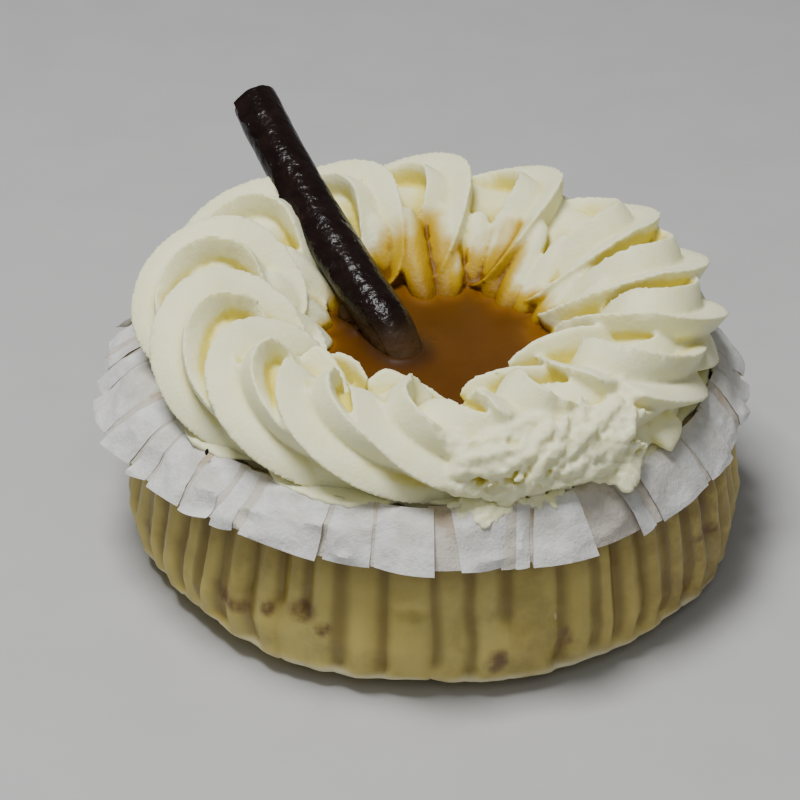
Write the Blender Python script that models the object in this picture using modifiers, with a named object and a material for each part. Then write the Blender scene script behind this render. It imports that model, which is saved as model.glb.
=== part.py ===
"""Salted caramel cheesecake: an individual cake in a fluted paper case, with a piped cream ring."""

import math
import random

import bmesh
import bpy
from mathutils import Vector

# Driving dimensions, in metres
MM = 0.001
GAP = 0.3 * MM
WELD = 0.01 * MM
SHARP_ANGLE = math.radians(40.0)

BASE_RADIUS = 42.0 * MM
BELLY_RADIUS = 49.0 * MM
BELLY_HEIGHT = 9.0 * MM
NECK_RADIUS = 44.4 * MM
NECK_HEIGHT = 30.6 * MM
NECK_CREST = 0.7 * MM
CORNER_WIDTH = 4.0 * MM
CORNER_HEIGHT = 0.7 * MM
WALL_UPPER = (45.3 * MM, 26.0 * MM)
WALL_MIDDLE = (47.4 * MM, 18.0 * MM)
WALL_LOWER = (47.8 * MM, 4.0 * MM)
LOWER_RISE = 0.3
WALL_STEP = 0.1 * MM
PAPER = 0.4 * MM

FLUTES = 45
COLUMNS = 2 * FLUTES
FLUTE_DEPTH = 0.9 * MM
FLUTE_LEAST = 0.65
FLUTE_MOST = 1.15
FLUTE_SHIFT = 0.22
FLUTE_AT_NECK = 0.35
FLUTE_FADE = 6.0 * MM
EDGE_LIFT = 1.6 * MM
EDGE_BAND = 6.0 * MM
EDGE_LOW = 0.25
EDGE_SIDE_SHARE = 0.45
EDGE_SIDE = math.radians(215.0)
EDGE_RIPPLE_SHARE = 0.3
EDGE_RIPPLES = 5.0

COLLAR_RIM_RADIUS = 49.4 * MM
COLLAR_RIM_HEIGHT = 24.6 * MM
COLLAR_MIDDLE = (47.4 * MM, 28.0 * MM)
COLLAR_FOLD_RADIUS = 45.0 * MM
COLLAR_SIDE_FLARE = 3.4 * MM
COLLAR_SIDE = math.radians(185.0)
COLLAR_SIDE_POWER = 3
COLLAR_FACET = 3
COLLAR_STEP = 0.9 * MM
COLLAR_SLOPE = 0.55

BISCUIT_TOP = 8.0 * MM
FILLING_TOP = 29.9 * MM
BED_TOP = 31.6 * MM
BED_TOP_RADIUS = 43.6 * MM
BED_LOW_RADIUS = 43.2 * MM
POOL_RADIUS = 20.5 * MM
CARAMEL_TOP = 32.8 * MM

RING_RADIUS = 33.6 * MM
RING_HEIGHT = 37.4 * MM
LOOP_REACH = 6.6 * MM
INNER_REACH = 2.8 * MM
LOOP_LEAN = math.radians(13.0)
LOOP_PITCH = math.radians(26.0)
LOOP_START = math.radians(-60.0)
LOOP_END = math.radians(250.0)
HEAD_RISE = 2.0 * MM
TAIL_DROP = 1.2 * MM
INNER_DROP = 7.0 * MM
INNER_POWER = 1.3
START_SWELL = 0.8
TAIL_SWELL = 0.75
ROPE_RADIUS = 7.5 * MM
ROPE_TILT = math.radians(30.0)
ROPE_WIND = 0.8
ROPE_TEETH = 6
TOOTH_DEPTH = 0.45
TOOTH_POWER = 1.1
LOOP_POINTS = 25
TOOTH_POINTS = 6
CORE_RADIUS = 34.4 * MM
CORE_HEIGHT = 36.1 * MM
CORE_THICKNESS = 5.5 * MM
RING_VOXEL = 0.7 * MM
RING_TRIANGLES = 6900
HEAD_ANGLES = (154, 181, 206, 227, 247, 277, 304, 332, 356, 18, 48, 75, 99, 126)
HEAD_TURN = 10.0

STICK_RADIUS = 4.0 * MM
STICK_FOOT = Vector((-5.9, -3.8, 33.8)) * MM
STICK_TIP = Vector((-31.5, 45.4, 53.1)) * MM
STICK_BOW = 1.2 * MM
STICK_SIDES = 16
STICK_POINTS = 9

CUT_FLOOR = 20.0 * MM
CUT_RADIUS = 60.0 * MM

CREAM_RGB = (0.86, 0.81, 0.60)
FILLING_RGB = (0.70, 0.56, 0.28)
BISCUIT_RGB = (0.30, 0.13, 0.06)
PAPER_RGB = (0.62, 0.53, 0.30)
CARAMEL_RGB = (0.20, 0.075, 0.008)
CHOCOLATE_RGB = (0.016, 0.006, 0.005)


def clear_scene():
    """Remove whatever objects the file opened with."""
    for item in list(bpy.data.objects):
        bpy.data.objects.remove(item, do_unlink=True)


def make_collection(name):
    """Add a collection to the scene."""
    collection = bpy.data.collections.new(name)
    bpy.context.scene.collection.children.link(collection)
    return collection


def make_material(name, rgb, roughness):
    """Make a plain Principled material."""
    material = bpy.data.materials.new(name)
    material.use_nodes = True
    shader = material.node_tree.nodes["Principled BSDF"]
    shader.inputs["Base Color"].default_value = (*rgb, 1.0)
    shader.inputs["Roughness"].default_value = roughness
    shader.inputs["Metallic"].default_value = 0.0
    return material


def as_mesh(source, name, collection, closed=True):
    """Make an object's evaluated shape a welded mesh object and remove the source."""
    bpy.context.view_layer.update()
    graph = bpy.context.evaluated_depsgraph_get()
    mesh = bpy.data.meshes.new_from_object(source.evaluated_get(graph), depsgraph=graph)
    welded = bmesh.new()
    welded.from_mesh(mesh)
    bmesh.ops.remove_doubles(welded, verts=welded.verts, dist=WELD)
    if closed:
        bmesh.ops.recalc_face_normals(welded, faces=welded.faces)
    welded.to_mesh(mesh)
    welded.free()
    item = bpy.data.objects.new(name, mesh)
    item.matrix_world = source.matrix_world.copy()
    collection.objects.link(item)
    bpy.data.objects.remove(source, do_unlink=True)
    return item


def turned(name, profile, collection):
    """Turn a profile of (radius, height) points, outer side top to bottom, round the Z axis."""
    mesh = bpy.data.meshes.new(name)
    edges = [(i, i + 1) for i in range(len(profile) - 1)]
    mesh.from_pydata([(radius, 0.0, height) for radius, height in profile], edges, [])
    item = bpy.data.objects.new(name, mesh)
    collection.objects.link(item)
    screw = item.modifiers.new("Turn", "SCREW")
    screw.steps = COLUMNS
    screw.render_steps = COLUMNS
    screw.use_merge_vertices = True
    screw.merge_threshold = WELD
    return as_mesh(item, name, collection, closed=False)


def finish(item, name, material):
    """Name an object, give it its material and shade it."""
    item.name = name
    item.data.name = name
    item.data.materials.clear()
    item.data.materials.append(material)
    item.data.shade_smooth()
    item.data.set_sharp_from_angle(angle=SHARP_ANGLE)
    return item


def apply_boolean(item, operation, solver, operand=None, collection=None):
    """Cut or join an object for good with another object, or with a collection's objects."""
    modifier = item.modifiers.new("Boolean", "BOOLEAN")
    modifier.operation = operation
    modifier.solver = solver
    if collection is None:
        modifier.object = operand
    else:
        modifier.operand_type = "COLLECTION"
        modifier.collection = collection
    bpy.context.view_layer.update()
    graph = bpy.context.evaluated_depsgraph_get()
    joined = bpy.data.meshes.new_from_object(item.evaluated_get(graph), depsgraph=graph)
    item.modifiers.clear()
    item.data = joined


def hide_cutter(item):
    """Keep a cutter out of the model."""
    item.hide_render = True
    item.display_type = "WIRE"


def flute_columns():
    """Give each paper column its angle shift and its fold depth."""
    draw = random.Random(7)
    shifts = []
    folds = []
    for column in range(COLUMNS):
        shifts.append(draw.uniform(-FLUTE_SHIFT, FLUTE_SHIFT) * 2.0 * math.pi / COLUMNS)
        side = 1.0 if column % 2 else -1.0
        folds.append(side * FLUTE_DEPTH * draw.uniform(FLUTE_LEAST, FLUTE_MOST))
    return shifts, folds


SHIFTS, FOLDS = flute_columns()


def pleat(item, inset):
    """Fold a turned shape into flutes, and its collar into broad facets."""
    for vertex in item.data.vertices:
        x, y, z = vertex.co
        radius = math.hypot(x, y)
        if radius < WELD:
            continue
        angle = math.atan2(y, x)
        column = round(angle / (2.0 * math.pi) * COLUMNS) % COLUMNS
        on_wall = min(1.0, max(0.0, (radius + inset - BASE_RADIUS) / CORNER_WIDTH))
        fade = min(1.0, max(0.0, (NECK_HEIGHT + inset - z) / FLUTE_FADE))
        if radius > collar_line(z):
            step = (column % COLLAR_FACET) / (COLLAR_FACET - 1) - 0.5
            reach = (radius - NECK_RADIUS) / (COLLAR_RIM_RADIUS - NECK_RADIUS)
            side = 0.5 + 0.5 * math.cos(angle - COLLAR_SIDE)
            flare = COLLAR_SIDE_FLARE * side ** COLLAR_SIDE_POWER
            radius += reach * (COLLAR_STEP * step + flare)
        else:
            depth = FLUTE_AT_NECK + (1.0 - FLUTE_AT_NECK) * fade
            radius += FOLDS[column] * on_wall * depth
            low = max(0.0, 1.0 - z / EDGE_BAND) * on_wall
            z += low * EDGE_LIFT * edge_wave(angle)
        angle += SHIFTS[column] * on_wall
        vertex.co = (radius * math.cos(angle), radius * math.sin(angle), z)


def collar_line(height):
    """Radius that parts the wall from the collar at a height."""
    if height < COLLAR_RIM_HEIGHT - COLLAR_STEP:
        return math.inf
    return NECK_RADIUS + PAPER / 2.0 + (NECK_HEIGHT + NECK_CREST - height) * COLLAR_SLOPE


def edge_wave(angle):
    """How far the bottom edge of the paper lifts off the table at an angle, 0 to 1."""
    side = 0.5 + 0.5 * math.cos(angle - EDGE_SIDE)
    ripple = 0.5 + 0.5 * math.sin(EDGE_RIPPLES * angle)
    return EDGE_LOW + EDGE_SIDE_SHARE * side ** 2 + EDGE_RIPPLE_SHARE * ripple


def wall_profile(inset):
    """Points of the case's outer face from its neck down to the bottom, moved in by an inset."""
    return [
        (WALL_UPPER[0] - inset, WALL_UPPER[1]),
        (WALL_MIDDLE[0] - inset, WALL_MIDDLE[1]),
        (BELLY_RADIUS - inset, BELLY_HEIGHT),
        (WALL_LOWER[0] - inset, WALL_LOWER[1] + LOWER_RISE * inset),
        (BASE_RADIUS + CORNER_WIDTH - inset, CORNER_HEIGHT + inset),
        (BASE_RADIUS - inset, inset),
    ]


def build_paper_case(collection, material):
    """The fluted paper case, whose top is folded out and down as a pleated collar."""
    profile = [
        (COLLAR_RIM_RADIUS, COLLAR_RIM_HEIGHT),
        COLLAR_MIDDLE,
        (COLLAR_FOLD_RADIUS, NECK_HEIGHT + NECK_CREST),
        (NECK_RADIUS, NECK_HEIGHT + NECK_CREST),
        *wall_profile(0.0),
        (0.0, 0.0),
    ]
    item = turned("paper_case", profile, collection)
    pleat(item, 0.0)
    skin = item.modifiers.new("Paper", "SOLIDIFY")
    skin.thickness = PAPER
    skin.offset = -1.0
    return finish(item, "paper_case", material)


def build_biscuit_base(collection, material):
    """The biscuit layer that fills the bottom of the case."""
    inset = PAPER + GAP
    profile = [(0.0, BISCUIT_TOP)]
    profile.append((BELLY_RADIUS - WALL_STEP - inset, BISCUIT_TOP))
    profile += wall_profile(inset)[3:]
    profile.append((0.0, inset))
    item = turned("biscuit_base", profile, collection)
    pleat(item, inset)
    return finish(item, "biscuit_base", material)


def build_cheesecake(collection, material):
    """The baked filling, from the biscuit up to the neck of the case."""
    inset = PAPER + GAP
    profile = [(0.0, FILLING_TOP), (NECK_RADIUS - inset, FILLING_TOP)]
    profile += wall_profile(inset)[:3]
    profile.append((BELLY_RADIUS - WALL_STEP - inset, BISCUIT_TOP + GAP))
    profile.append((0.0, BISCUIT_TOP + GAP))
    item = turned("cheesecake", profile, collection)
    pleat(item, inset)
    return finish(item, "cheesecake", material)


def build_cream_bed(collection, material):
    """The layer of cream spread to the edge of the cake, open in the middle for the caramel."""
    inner = POOL_RADIUS + GAP
    low = FILLING_TOP + GAP
    profile = [
        (inner, BED_TOP),
        (BED_TOP_RADIUS, BED_TOP),
        (BED_LOW_RADIUS, low),
        (inner, low),
        (inner, BED_TOP),
    ]
    item = turned("cream_bed", profile, collection)
    return finish(item, "cream_bed", material)


def ease(share):
    """Smooth step from 0 to 1."""
    share = min(1.0, max(0.0, share))
    return share * share * (3.0 - 2.0 * share)


def loop_point(turn, head_angle):
    """Centre and share of full thickness of one piped loop at a turn, whose head is at 90 degrees."""
    sine = math.sin(turn)
    cosine = math.cos(turn)
    advance = LOOP_PITCH * (turn - math.pi / 2.0) / (2.0 * math.pi)
    angle = head_angle + LOOP_LEAN * (1.0 - sine) + advance
    radius = RING_RADIUS - LOOP_REACH * cosine
    height = RING_HEIGHT + (HEAD_RISE if sine > 0.0 else TAIL_DROP) * sine
    inward = max(0.0, cosine) ** INNER_POWER
    radius -= INNER_REACH * inward
    height -= INNER_DROP * inward
    rising = ease((turn - LOOP_START) / (math.pi / 2.0 - LOOP_START))
    falling = ease((turn - math.pi / 2.0) / (LOOP_END - math.pi / 2.0))
    swell = START_SWELL + (1.0 - START_SWELL) * rising - (1.0 - TAIL_SWELL) * falling
    centre = Vector((radius * math.cos(angle), radius * math.sin(angle), height))
    return centre, swell


def build_star(collection):
    """The star outline of the piped rope, of unit radius in millimetres."""
    curve = bpy.data.curves.new("star", "CURVE")
    curve.dimensions = "2D"
    spline = curve.splines.new("POLY")
    points = TOOTH_POINTS * ROPE_TEETH
    spline.points.add(points - 1)
    for i in range(points):
        angle = 2.0 * math.pi * i / points
        valley = abs(2.0 * (i % TOOTH_POINTS) / TOOTH_POINTS - 1.0)
        reach = MM * (1.0 - TOOTH_DEPTH * valley ** TOOTH_POWER)
        spline.points[i].co = (reach * math.cos(angle), reach * math.sin(angle), 0.0, 1.0)
    spline.use_cyclic_u = True
    star = bpy.data.objects.new("star", curve)
    collection.objects.link(star)
    hide_cutter(star)
    return star


def build_loop(name, star, head_angle, collection):
    """One piped loop of the rope, whose ribs wind round it as it turns, as a closed mesh."""
    curve = bpy.data.curves.new(name, "CURVE")
    curve.dimensions = "3D"
    curve.twist_mode = "Z_UP"
    curve.bevel_mode = "OBJECT"
    curve.bevel_object = star
    curve.use_fill_caps = True
    spline = curve.splines.new("POLY")
    spline.points.add(LOOP_POINTS - 1)
    for i in range(LOOP_POINTS):
        turn = LOOP_START + (LOOP_END - LOOP_START) * i / (LOOP_POINTS - 1)
        centre, swell = loop_point(turn, head_angle)
        spline.points[i].co = (*centre, 1.0)
        spline.points[i].radius = ROPE_RADIUS / MM * swell
        spline.points[i].tilt = ROPE_TILT + ROPE_WIND * (turn - math.pi / 2.0)
    loop = bpy.data.objects.new(name, curve)
    collection.objects.link(loop)
    return as_mesh(loop, name, collection)


def build_cream_ring(collection, cutters, material):
    """The piped ring: loops of star rope joined with a round core, cut flat below."""
    star = build_star(cutters)
    bpy.ops.mesh.primitive_torus_add(
        major_segments=42,
        minor_segments=8,
        major_radius=CORE_RADIUS,
        minor_radius=CORE_THICKNESS,
        location=(0.0, 0.0, CORE_HEIGHT),
    )
    ring = bpy.context.active_object
    bpy.ops.object.transform_apply(location=True, rotation=False, scale=False)
    for owner in list(ring.users_collection):
        owner.objects.unlink(ring)
    collection.objects.link(ring)
    loops = make_collection("loops")
    for number, head in enumerate(HEAD_ANGLES):
        build_loop(f"loop_{number}", star, math.radians(head + HEAD_TURN), loops)
    apply_boolean(ring, "UNION", "MANIFOLD", collection=loops)
    for loop in list(loops.objects):
        bpy.data.objects.remove(loop, do_unlink=True)
    bpy.data.collections.remove(loops)
    even_out(ring)
    for cutter in ring_cutters(cutters):
        apply_boolean(ring, "DIFFERENCE", "MANIFOLD", operand=cutter)
    keep_largest_body(ring)
    return finish(ring, "cream_ring", material)


def even_out(item):
    """Close the creases where loops pass through each other, with an even surface of few faces."""
    remesh = item.modifiers.new("Remesh", "REMESH")
    remesh.mode = "VOXEL"
    remesh.voxel_size = RING_VOXEL
    bpy.context.view_layer.update()
    graph = bpy.context.evaluated_depsgraph_get()
    item.data = bpy.data.meshes.new_from_object(item.evaluated_get(graph), depsgraph=graph)
    item.modifiers.clear()
    keep_largest_body(item)
    decimate = item.modifiers.new("Decimate", "DECIMATE")
    decimate.ratio = 0.5 * RING_TRIANGLES / len(item.data.polygons)
    bpy.context.view_layer.update()
    graph = bpy.context.evaluated_depsgraph_get()
    item.data = bpy.data.meshes.new_from_object(item.evaluated_get(graph), depsgraph=graph)
    item.modifiers.clear()


def keep_largest_body(item):
    """Drop the sealed pockets and loose scraps that joining leaves."""
    mesh = bmesh.new()
    mesh.from_mesh(item.data)
    left = set(mesh.verts)
    bodies = []
    while left:
        front = [left.pop()]
        body = set(front)
        while front:
            vertex = front.pop()
            for edge in vertex.link_edges:
                other = edge.other_vert(vertex)
                if other in left:
                    left.remove(other)
                    body.add(other)
                    front.append(other)
        bodies.append(body)
    largest = max(bodies, key=len)
    scraps = [vertex for vertex in mesh.verts if vertex not in largest]
    bmesh.ops.delete(mesh, geom=scraps, context="VERTS")
    mesh.to_mesh(item.data)
    mesh.free()


def cylinder(name, radius, low, high, collection):
    """An upright cylinder on the Z axis between two heights."""
    bpy.ops.mesh.primitive_cylinder_add(
        vertices=COLUMNS,
        radius=radius,
        depth=high - low,
        location=(0.0, 0.0, 0.5 * (low + high)),
    )
    item = bpy.context.active_object
    bpy.ops.object.transform_apply(location=True, rotation=False, scale=False)
    for owner in list(item.users_collection):
        owner.objects.unlink(item)
    collection.objects.link(item)
    item.name = name
    return item


def stick_rod(name, radius, stretch, collection):
    """The bowed rod of the chocolate stick, as a closed mesh, longer at the tip by a stretch."""
    curve = bpy.data.curves.new(name, "CURVE")
    curve.dimensions = "3D"
    curve.bevel_depth = radius
    curve.bevel_resolution = STICK_SIDES // 4 - 1
    curve.use_fill_caps = True
    spline = curve.splines.new("POLY")
    spline.points.add(STICK_POINTS - 1)
    along = STICK_TIP - STICK_FOOT
    aside = along.cross(Vector((0.0, 0.0, 1.0))).normalized()
    for i in range(STICK_POINTS):
        share = i / (STICK_POINTS - 1) * (1.0 + stretch / along.length)
        bow = 4.0 * share * (1.0 - share) * STICK_BOW
        spline.points[i].co = (*(STICK_FOOT + share * along - bow * aside), 1.0)
    rod = bpy.data.objects.new(name, curve)
    collection.objects.link(rod)
    return as_mesh(rod, name, collection)


def ring_cutters(collection):
    """What the ring is cut by: the flat bed below it, the caramel pool and the chocolate stick."""
    floor = cylinder("bed_cut", CUT_RADIUS, CUT_FLOOR, BED_TOP + GAP, collection)
    pool = cylinder("pool_cut", POOL_RADIUS + GAP, CUT_FLOOR, CARAMEL_TOP + GAP, collection)
    stick = stick_rod("stick_cut", STICK_RADIUS + GAP, STICK_RADIUS, collection)
    cutters = [floor, pool, stick]
    for cutter in cutters:
        hide_cutter(cutter)
    return cutters


def build_caramel(collection, cutters, material):
    """The pool of caramel in the middle, cut round the foot of the stick."""
    low = FILLING_TOP + GAP
    item = cylinder("caramel", POOL_RADIUS, low, CARAMEL_TOP, collection)
    foot = stick_rod("foot_cut", STICK_RADIUS + GAP, 0.0, cutters)
    hide_cutter(foot)
    apply_boolean(item, "DIFFERENCE", "EXACT", operand=foot)
    return finish(item, "caramel", material)


def build_chocolate_stick(collection, material):
    """The rolled chocolate stick that leans out of the caramel over the ring."""
    item = stick_rod("chocolate_stick", STICK_RADIUS, 0.0, collection)
    return finish(item, "chocolate_stick", material)


def build_part():
    """Build every sub-part of the cheesecake."""
    clear_scene()
    part = make_collection("salted_caramel_cheesecake")
    cutters = make_collection("cutters")
    paper = make_material("Greaseproof paper", PAPER_RGB, 0.6)
    biscuit = make_material("Biscuit", BISCUIT_RGB, 0.9)
    filling = make_material("Cheesecake filling", FILLING_RGB, 0.6)
    cream = make_material("Piped cream", CREAM_RGB, 0.5)
    caramel = make_material("Caramel", CARAMEL_RGB, 0.25)
    chocolate = make_material("Dark chocolate", CHOCOLATE_RGB, 0.4)
    build_paper_case(part, paper)
    build_biscuit_base(part, biscuit)
    build_cheesecake(part, filling)
    build_cream_bed(part, cream)
    build_cream_ring(part, cutters, cream)
    build_caramel(part, cutters, caramel)
    build_chocolate_stick(part, chocolate)


build_part()
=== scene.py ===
"""Salted caramel cheesecake: piped cream ring, caramel, chocolate stick and fluted paper case."""

import math
import random

import bmesh
import bpy
import numpy as np
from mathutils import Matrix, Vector
from mathutils.bvhtree import BVHTree


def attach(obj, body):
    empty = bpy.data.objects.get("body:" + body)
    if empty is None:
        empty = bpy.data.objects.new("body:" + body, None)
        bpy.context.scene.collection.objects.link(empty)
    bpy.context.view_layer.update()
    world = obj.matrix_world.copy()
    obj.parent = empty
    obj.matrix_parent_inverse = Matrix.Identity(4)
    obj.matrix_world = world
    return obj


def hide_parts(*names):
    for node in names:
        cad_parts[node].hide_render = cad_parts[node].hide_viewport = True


bl_info = {
    "name": "Salted caramel cheesecake",
    "version": (1, 0, 0),
    "blender": (4, 5, 0),
    "location": "View3D > Sidebar > Cheesecake",
    "description": "An individual cheesecake in a paper case, with cream, caramel and a stick",
    "category": "Add Mesh",
}

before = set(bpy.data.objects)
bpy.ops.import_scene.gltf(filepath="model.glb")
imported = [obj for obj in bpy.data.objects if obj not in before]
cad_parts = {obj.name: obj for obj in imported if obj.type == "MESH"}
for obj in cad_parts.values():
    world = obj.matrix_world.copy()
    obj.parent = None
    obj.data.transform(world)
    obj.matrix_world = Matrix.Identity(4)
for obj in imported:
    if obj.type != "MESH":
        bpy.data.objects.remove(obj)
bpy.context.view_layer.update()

MM = 0.001
BODY = "root"

# The rope of cream: heads of its loops round the ring, in degrees
HEAD_ANGLES = (154, 181, 206, 227, 247, 277, 304, 332, 356, 18, 48, 75, 99, 126)
HEAD_TURN = 10.0
# How much further in each loop reaches, in millimetres
HEAD_REACH = (0.9, 2.2, 2.6, 1.2, -2.0, -2.4, 1.8, 3.0, 3.0, 2.2, 3.4, 3.6, 2.8, 1.7)
# How much further out and up each loop's outer side lies, in millimetres
HEAD_OUT = (1.9, 0.7, 0.0, 0.0, 0.0, 0.0, 0.0, 0.0, 0.0, 0.0, 0.0, 0.0, 0.0, 1.5)
HEAD_UP = (2.0, 0.8, 0.2, 0.0, -0.8, -0.8, -0.4, 0.0, 0.0, 0.0, 0.0, 0.0, 0.2, 1.6)
# How broad each loop's rope is, from 0 for the fine ones at the back to 1
HEAD_BROAD = (0.5, 1.0, 1.0, 1.0, 1.0, 1.0, 0.8, 0.5, 0.2, 0.0, 0.0, 0.0, 0.0, 0.2)
BROAD_RADIUS = 1.6 * MM
BROAD_REACH = 2.0 * MM
BROAD_DROP = 0.9 * MM
LOOP_START = math.radians(-60.0)
LOOP_END = math.radians(250.0)
LOOP_POINTS = 96
TOOTH_POINTS = 14
ROPE_TILT = 30.0
ROPE_TILT_SPREAD = 6.0
WELD = 0.01 * MM
CREAM_VOXEL = 0.38 * MM
CREAM_TRIANGLES = 190000
# The ring's round core, and half sizes of the plain slope where it is torn, in millimetres
CORE_RADIUS = 34.4
CORE_HEIGHT = 36.1
CORE_THICK = 5.5
SLOPE_OUT = 11.2
SLOPE_UP = 6.3
TORN_FROM = 270.0
TORN_TO = 316.0
TORN_SMEARS = 75
TORN_CRUMBS = 255
# The bed of cream starts as a torus, in millimetres, whose inner side goes further in
BED_RADIUS = 33.0
BED_HALF = 10.0
BED_HEIGHT = 31.0
BED_INWARD = 11.5
# The side that faces most of the caramel stain, in degrees, and the height it starts from
STAIN_SIDE = 86.0
STAIN_HEIGHT = 32.6 * MM

# The paper wall, whose flutes follow the same draws as the case they cover: radius and height of
# its side in millimetres, from the neck down
WALL_SIDE = (
    (44.4, 31.3), (45.3, 26.0), (47.4, 18.0), (49.0, 9.0), (47.8, 4.0), (46.0, 0.7), (42.0, 0.0)
)
WALL_BASE_RADIUS = 42.0 * MM
WALL_CORNER = 4.0 * MM
WALL_NECK_HEIGHT = 30.6 * MM
FLUTE_SHIFT = 0.22
FLUTE_SPREAD = (0.65, 1.15)
FLUTE_AT_NECK = 0.35
FLUTE_FADE = 6.0 * MM
# Where the whole height of the wall is darkened: angle and half width in degrees
DARKENED_SIDE = (334.0, 28.0)
# The radius at which flutes and pleats are measured and made uneven, in millimetres
WALL_AROUND = 48.0
COLLAR_AROUND = 50.0
# The collar where it leaves the wall, in millimetres, and its rows from there to the rim
COLLAR_NECK = 43.6
COLLAR_TOP = 31.7
COLLAR_ROWS = 34
# Sides of the collar, in degrees: where it stands out and where it lies close, and, with their
# half widths, where it is short, where it is long and where it is crumpled
COLLAR_OUT = 185.0
COLLAR_CLOSE = 8.0
COLLAR_SHORT = (230.0, 26.0)
COLLAR_LONG = (306.0, 24.0)
COLLAR_CRUMPLED = (242.0, 14.0)

# The pool of caramel and the stick
POOL_RINGS = 56
POOL_COLUMNS = 160
POOL_BOTTOM = 30.3 * MM
STICK_ROWS = 250
STICK_COLUMNS = 96
STICK_FOOT = Vector((-4.9, -3.8, 33.8)) * MM
STICK_TIP = Vector((-30.2, 45.1, 52.4)) * MM
STICK_BOW = 1.2 * MM
STICK_SEAM = math.radians(158.0)

# The camera and the lights
CAMERA_TARGET = Vector((-5.6, 0.0, 21.6)) * MM
SENSOR_WIDTH = 36.0
CLIP_START = 0.01
KEY_PLACE = (-0.12, -0.05, 0.6)
KEY_SIZE = 0.2
FILL_PLACE = (0.05, -0.4, 0.45)
FILL_SIZE = 0.3
SKY_COLOUR = (0.75, 0.78, 0.80, 1.0)


def select_only(item):
    """Make one object the only selected one, and the active one."""
    bpy.ops.object.select_all(action="DESELECT")
    item.select_set(True)
    bpy.context.view_layer.objects.active = item


def apply_modifier(item, kind, **values):
    """Add a modifier with its values and apply it."""
    select_only(item)
    modifier = item.modifiers.new(kind.title(), kind)
    for key, value in values.items():
        setattr(modifier, key, value)
    bpy.ops.object.modifier_apply(modifier=modifier.name)


def points_of(item):
    """The object's vertices as an array."""
    points = np.empty(3 * len(item.data.vertices))
    item.data.vertices.foreach_get("co", points)
    return points.reshape(-1, 3)


def move_points(item, points):
    """Put the object's vertices at an array's places."""
    item.data.vertices.foreach_set("co", np.ascontiguousarray(points, np.float64).ravel())
    item.data.update()


def normals_of(item):
    """The object's vertex normals as an array."""
    normals = np.empty(3 * len(item.data.vertices))
    item.data.vertex_normals.foreach_get("vector", normals)
    return normals.reshape(-1, 3)


def put_values(item, name, values):
    """Store a number for each vertex, or one for all, under a name that materials can read."""
    attribute = item.data.attributes.new(name, "FLOAT", "POINT")
    values = np.broadcast_to(values, len(item.data.vertices))
    attribute.data.foreach_set("value", np.ascontiguousarray(values, np.float32))


def new_mesh_object(name, points, faces):
    """An object from arrays of points and faces."""
    mesh = bpy.data.meshes.new(name)
    mesh.from_pydata([tuple(p) for p in points], [], [tuple(f) for f in faces])
    mesh.update()
    item = bpy.data.objects.new(name, mesh)
    bpy.context.scene.collection.objects.link(item)
    return item


def join(items, name):
    """Join objects into one."""
    bpy.ops.object.select_all(action="DESELECT")
    for item in items:
        item.select_set(True)
    bpy.context.view_layer.objects.active = items[0]
    bpy.ops.object.join()
    joined = bpy.context.view_layer.objects.active
    joined.name = name
    joined.data.name = name
    return joined


def finish(item, material, slot, *nodes, angle=None):
    """Shade a piece smooth, but sharp past an angle, and give it its material and body; the slot is
    not used.

    It stands for the CAD nodes that are named.
    """
    select_only(item)
    if angle is None:
        bpy.ops.object.shade_smooth()
    else:
        bpy.ops.object.shade_smooth_by_angle(angle=math.radians(angle))
    item.data.materials.clear()
    item.data.materials.append(material)
    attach(item, BODY)
    if nodes:
        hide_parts(*nodes)


def polar(radius, angle, height):
    """Points from radii, angles in radians and heights, any of which may be one number."""
    sides = np.broadcast_arrays(radius * np.cos(angle), radius * np.sin(angle), height)
    return np.stack(sides, axis=1)


def angle_and_radius(points):
    """Angle in radians and radius of each point."""
    return np.arctan2(points[:, 1], points[:, 0]), np.hypot(points[:, 0], points[:, 1])


def turn_from(degrees, middle):
    """How far angles lie from a middle one, in degrees either way."""
    return (degrees - middle + 180.0) % 360.0 - 180.0


def facing(angle, degrees):
    """How far an angle in radians faces one in degrees, 0 to 1."""
    return 0.5 + 0.5 * np.cos(angle - math.radians(degrees))


def bell(value, middle, wide):
    """A bell curve, 1 at a middle value and soft on both sides."""
    return np.exp(-((value - middle) / wide) ** 2)


def nearness(degrees, middle, wide):
    """How near angles in degrees lie to a middle one, either way round, as a bell curve."""
    return bell(turn_from(degrees, middle), 0.0, wide)


def torus(radius, thick, height, around, across):
    """A torus from sizes in millimetres and its number of points each way."""
    bpy.ops.object.select_all(action="DESELECT")
    bpy.ops.mesh.primitive_torus_add(
        major_segments=around, minor_segments=across, major_radius=radius * MM,
        minor_radius=thick * MM, location=(0.0, 0.0, height * MM),
    )
    bpy.ops.object.transform_apply(location=True, rotation=False, scale=False)
    return bpy.context.active_object


def face_outward(item, weld=0.0):
    """Weld points closer than a distance, and turn all faces outward."""
    select_only(item)
    bpy.ops.object.mode_set(mode="EDIT")
    bpy.ops.mesh.select_all(action="SELECT")
    if weld:
        bpy.ops.mesh.remove_doubles(threshold=weld)
    bpy.ops.mesh.normals_make_consistent(inside=False)
    bpy.ops.object.mode_set(mode="OBJECT")


def strip_faces(rows, columns):
    """Faces of a grid of rows that closes round its columns."""
    row, column = np.meshgrid(np.arange(rows - 1), np.arange(columns), indexing="ij")
    following = (column + 1) % columns
    quads = (
        row * columns + column,
        (row + 1) * columns + column,
        (row + 1) * columns + following,
        row * columns + following,
    )
    return np.stack([q.ravel() for q in quads], axis=1)


def fan_faces(middle, first, columns):
    """Faces that close a row of a grid to a middle point, by the numbers of their points."""
    column = np.arange(columns)
    following = (column + 1) % columns
    return np.stack((np.full(columns, middle), first + following, first + column), axis=1)


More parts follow.
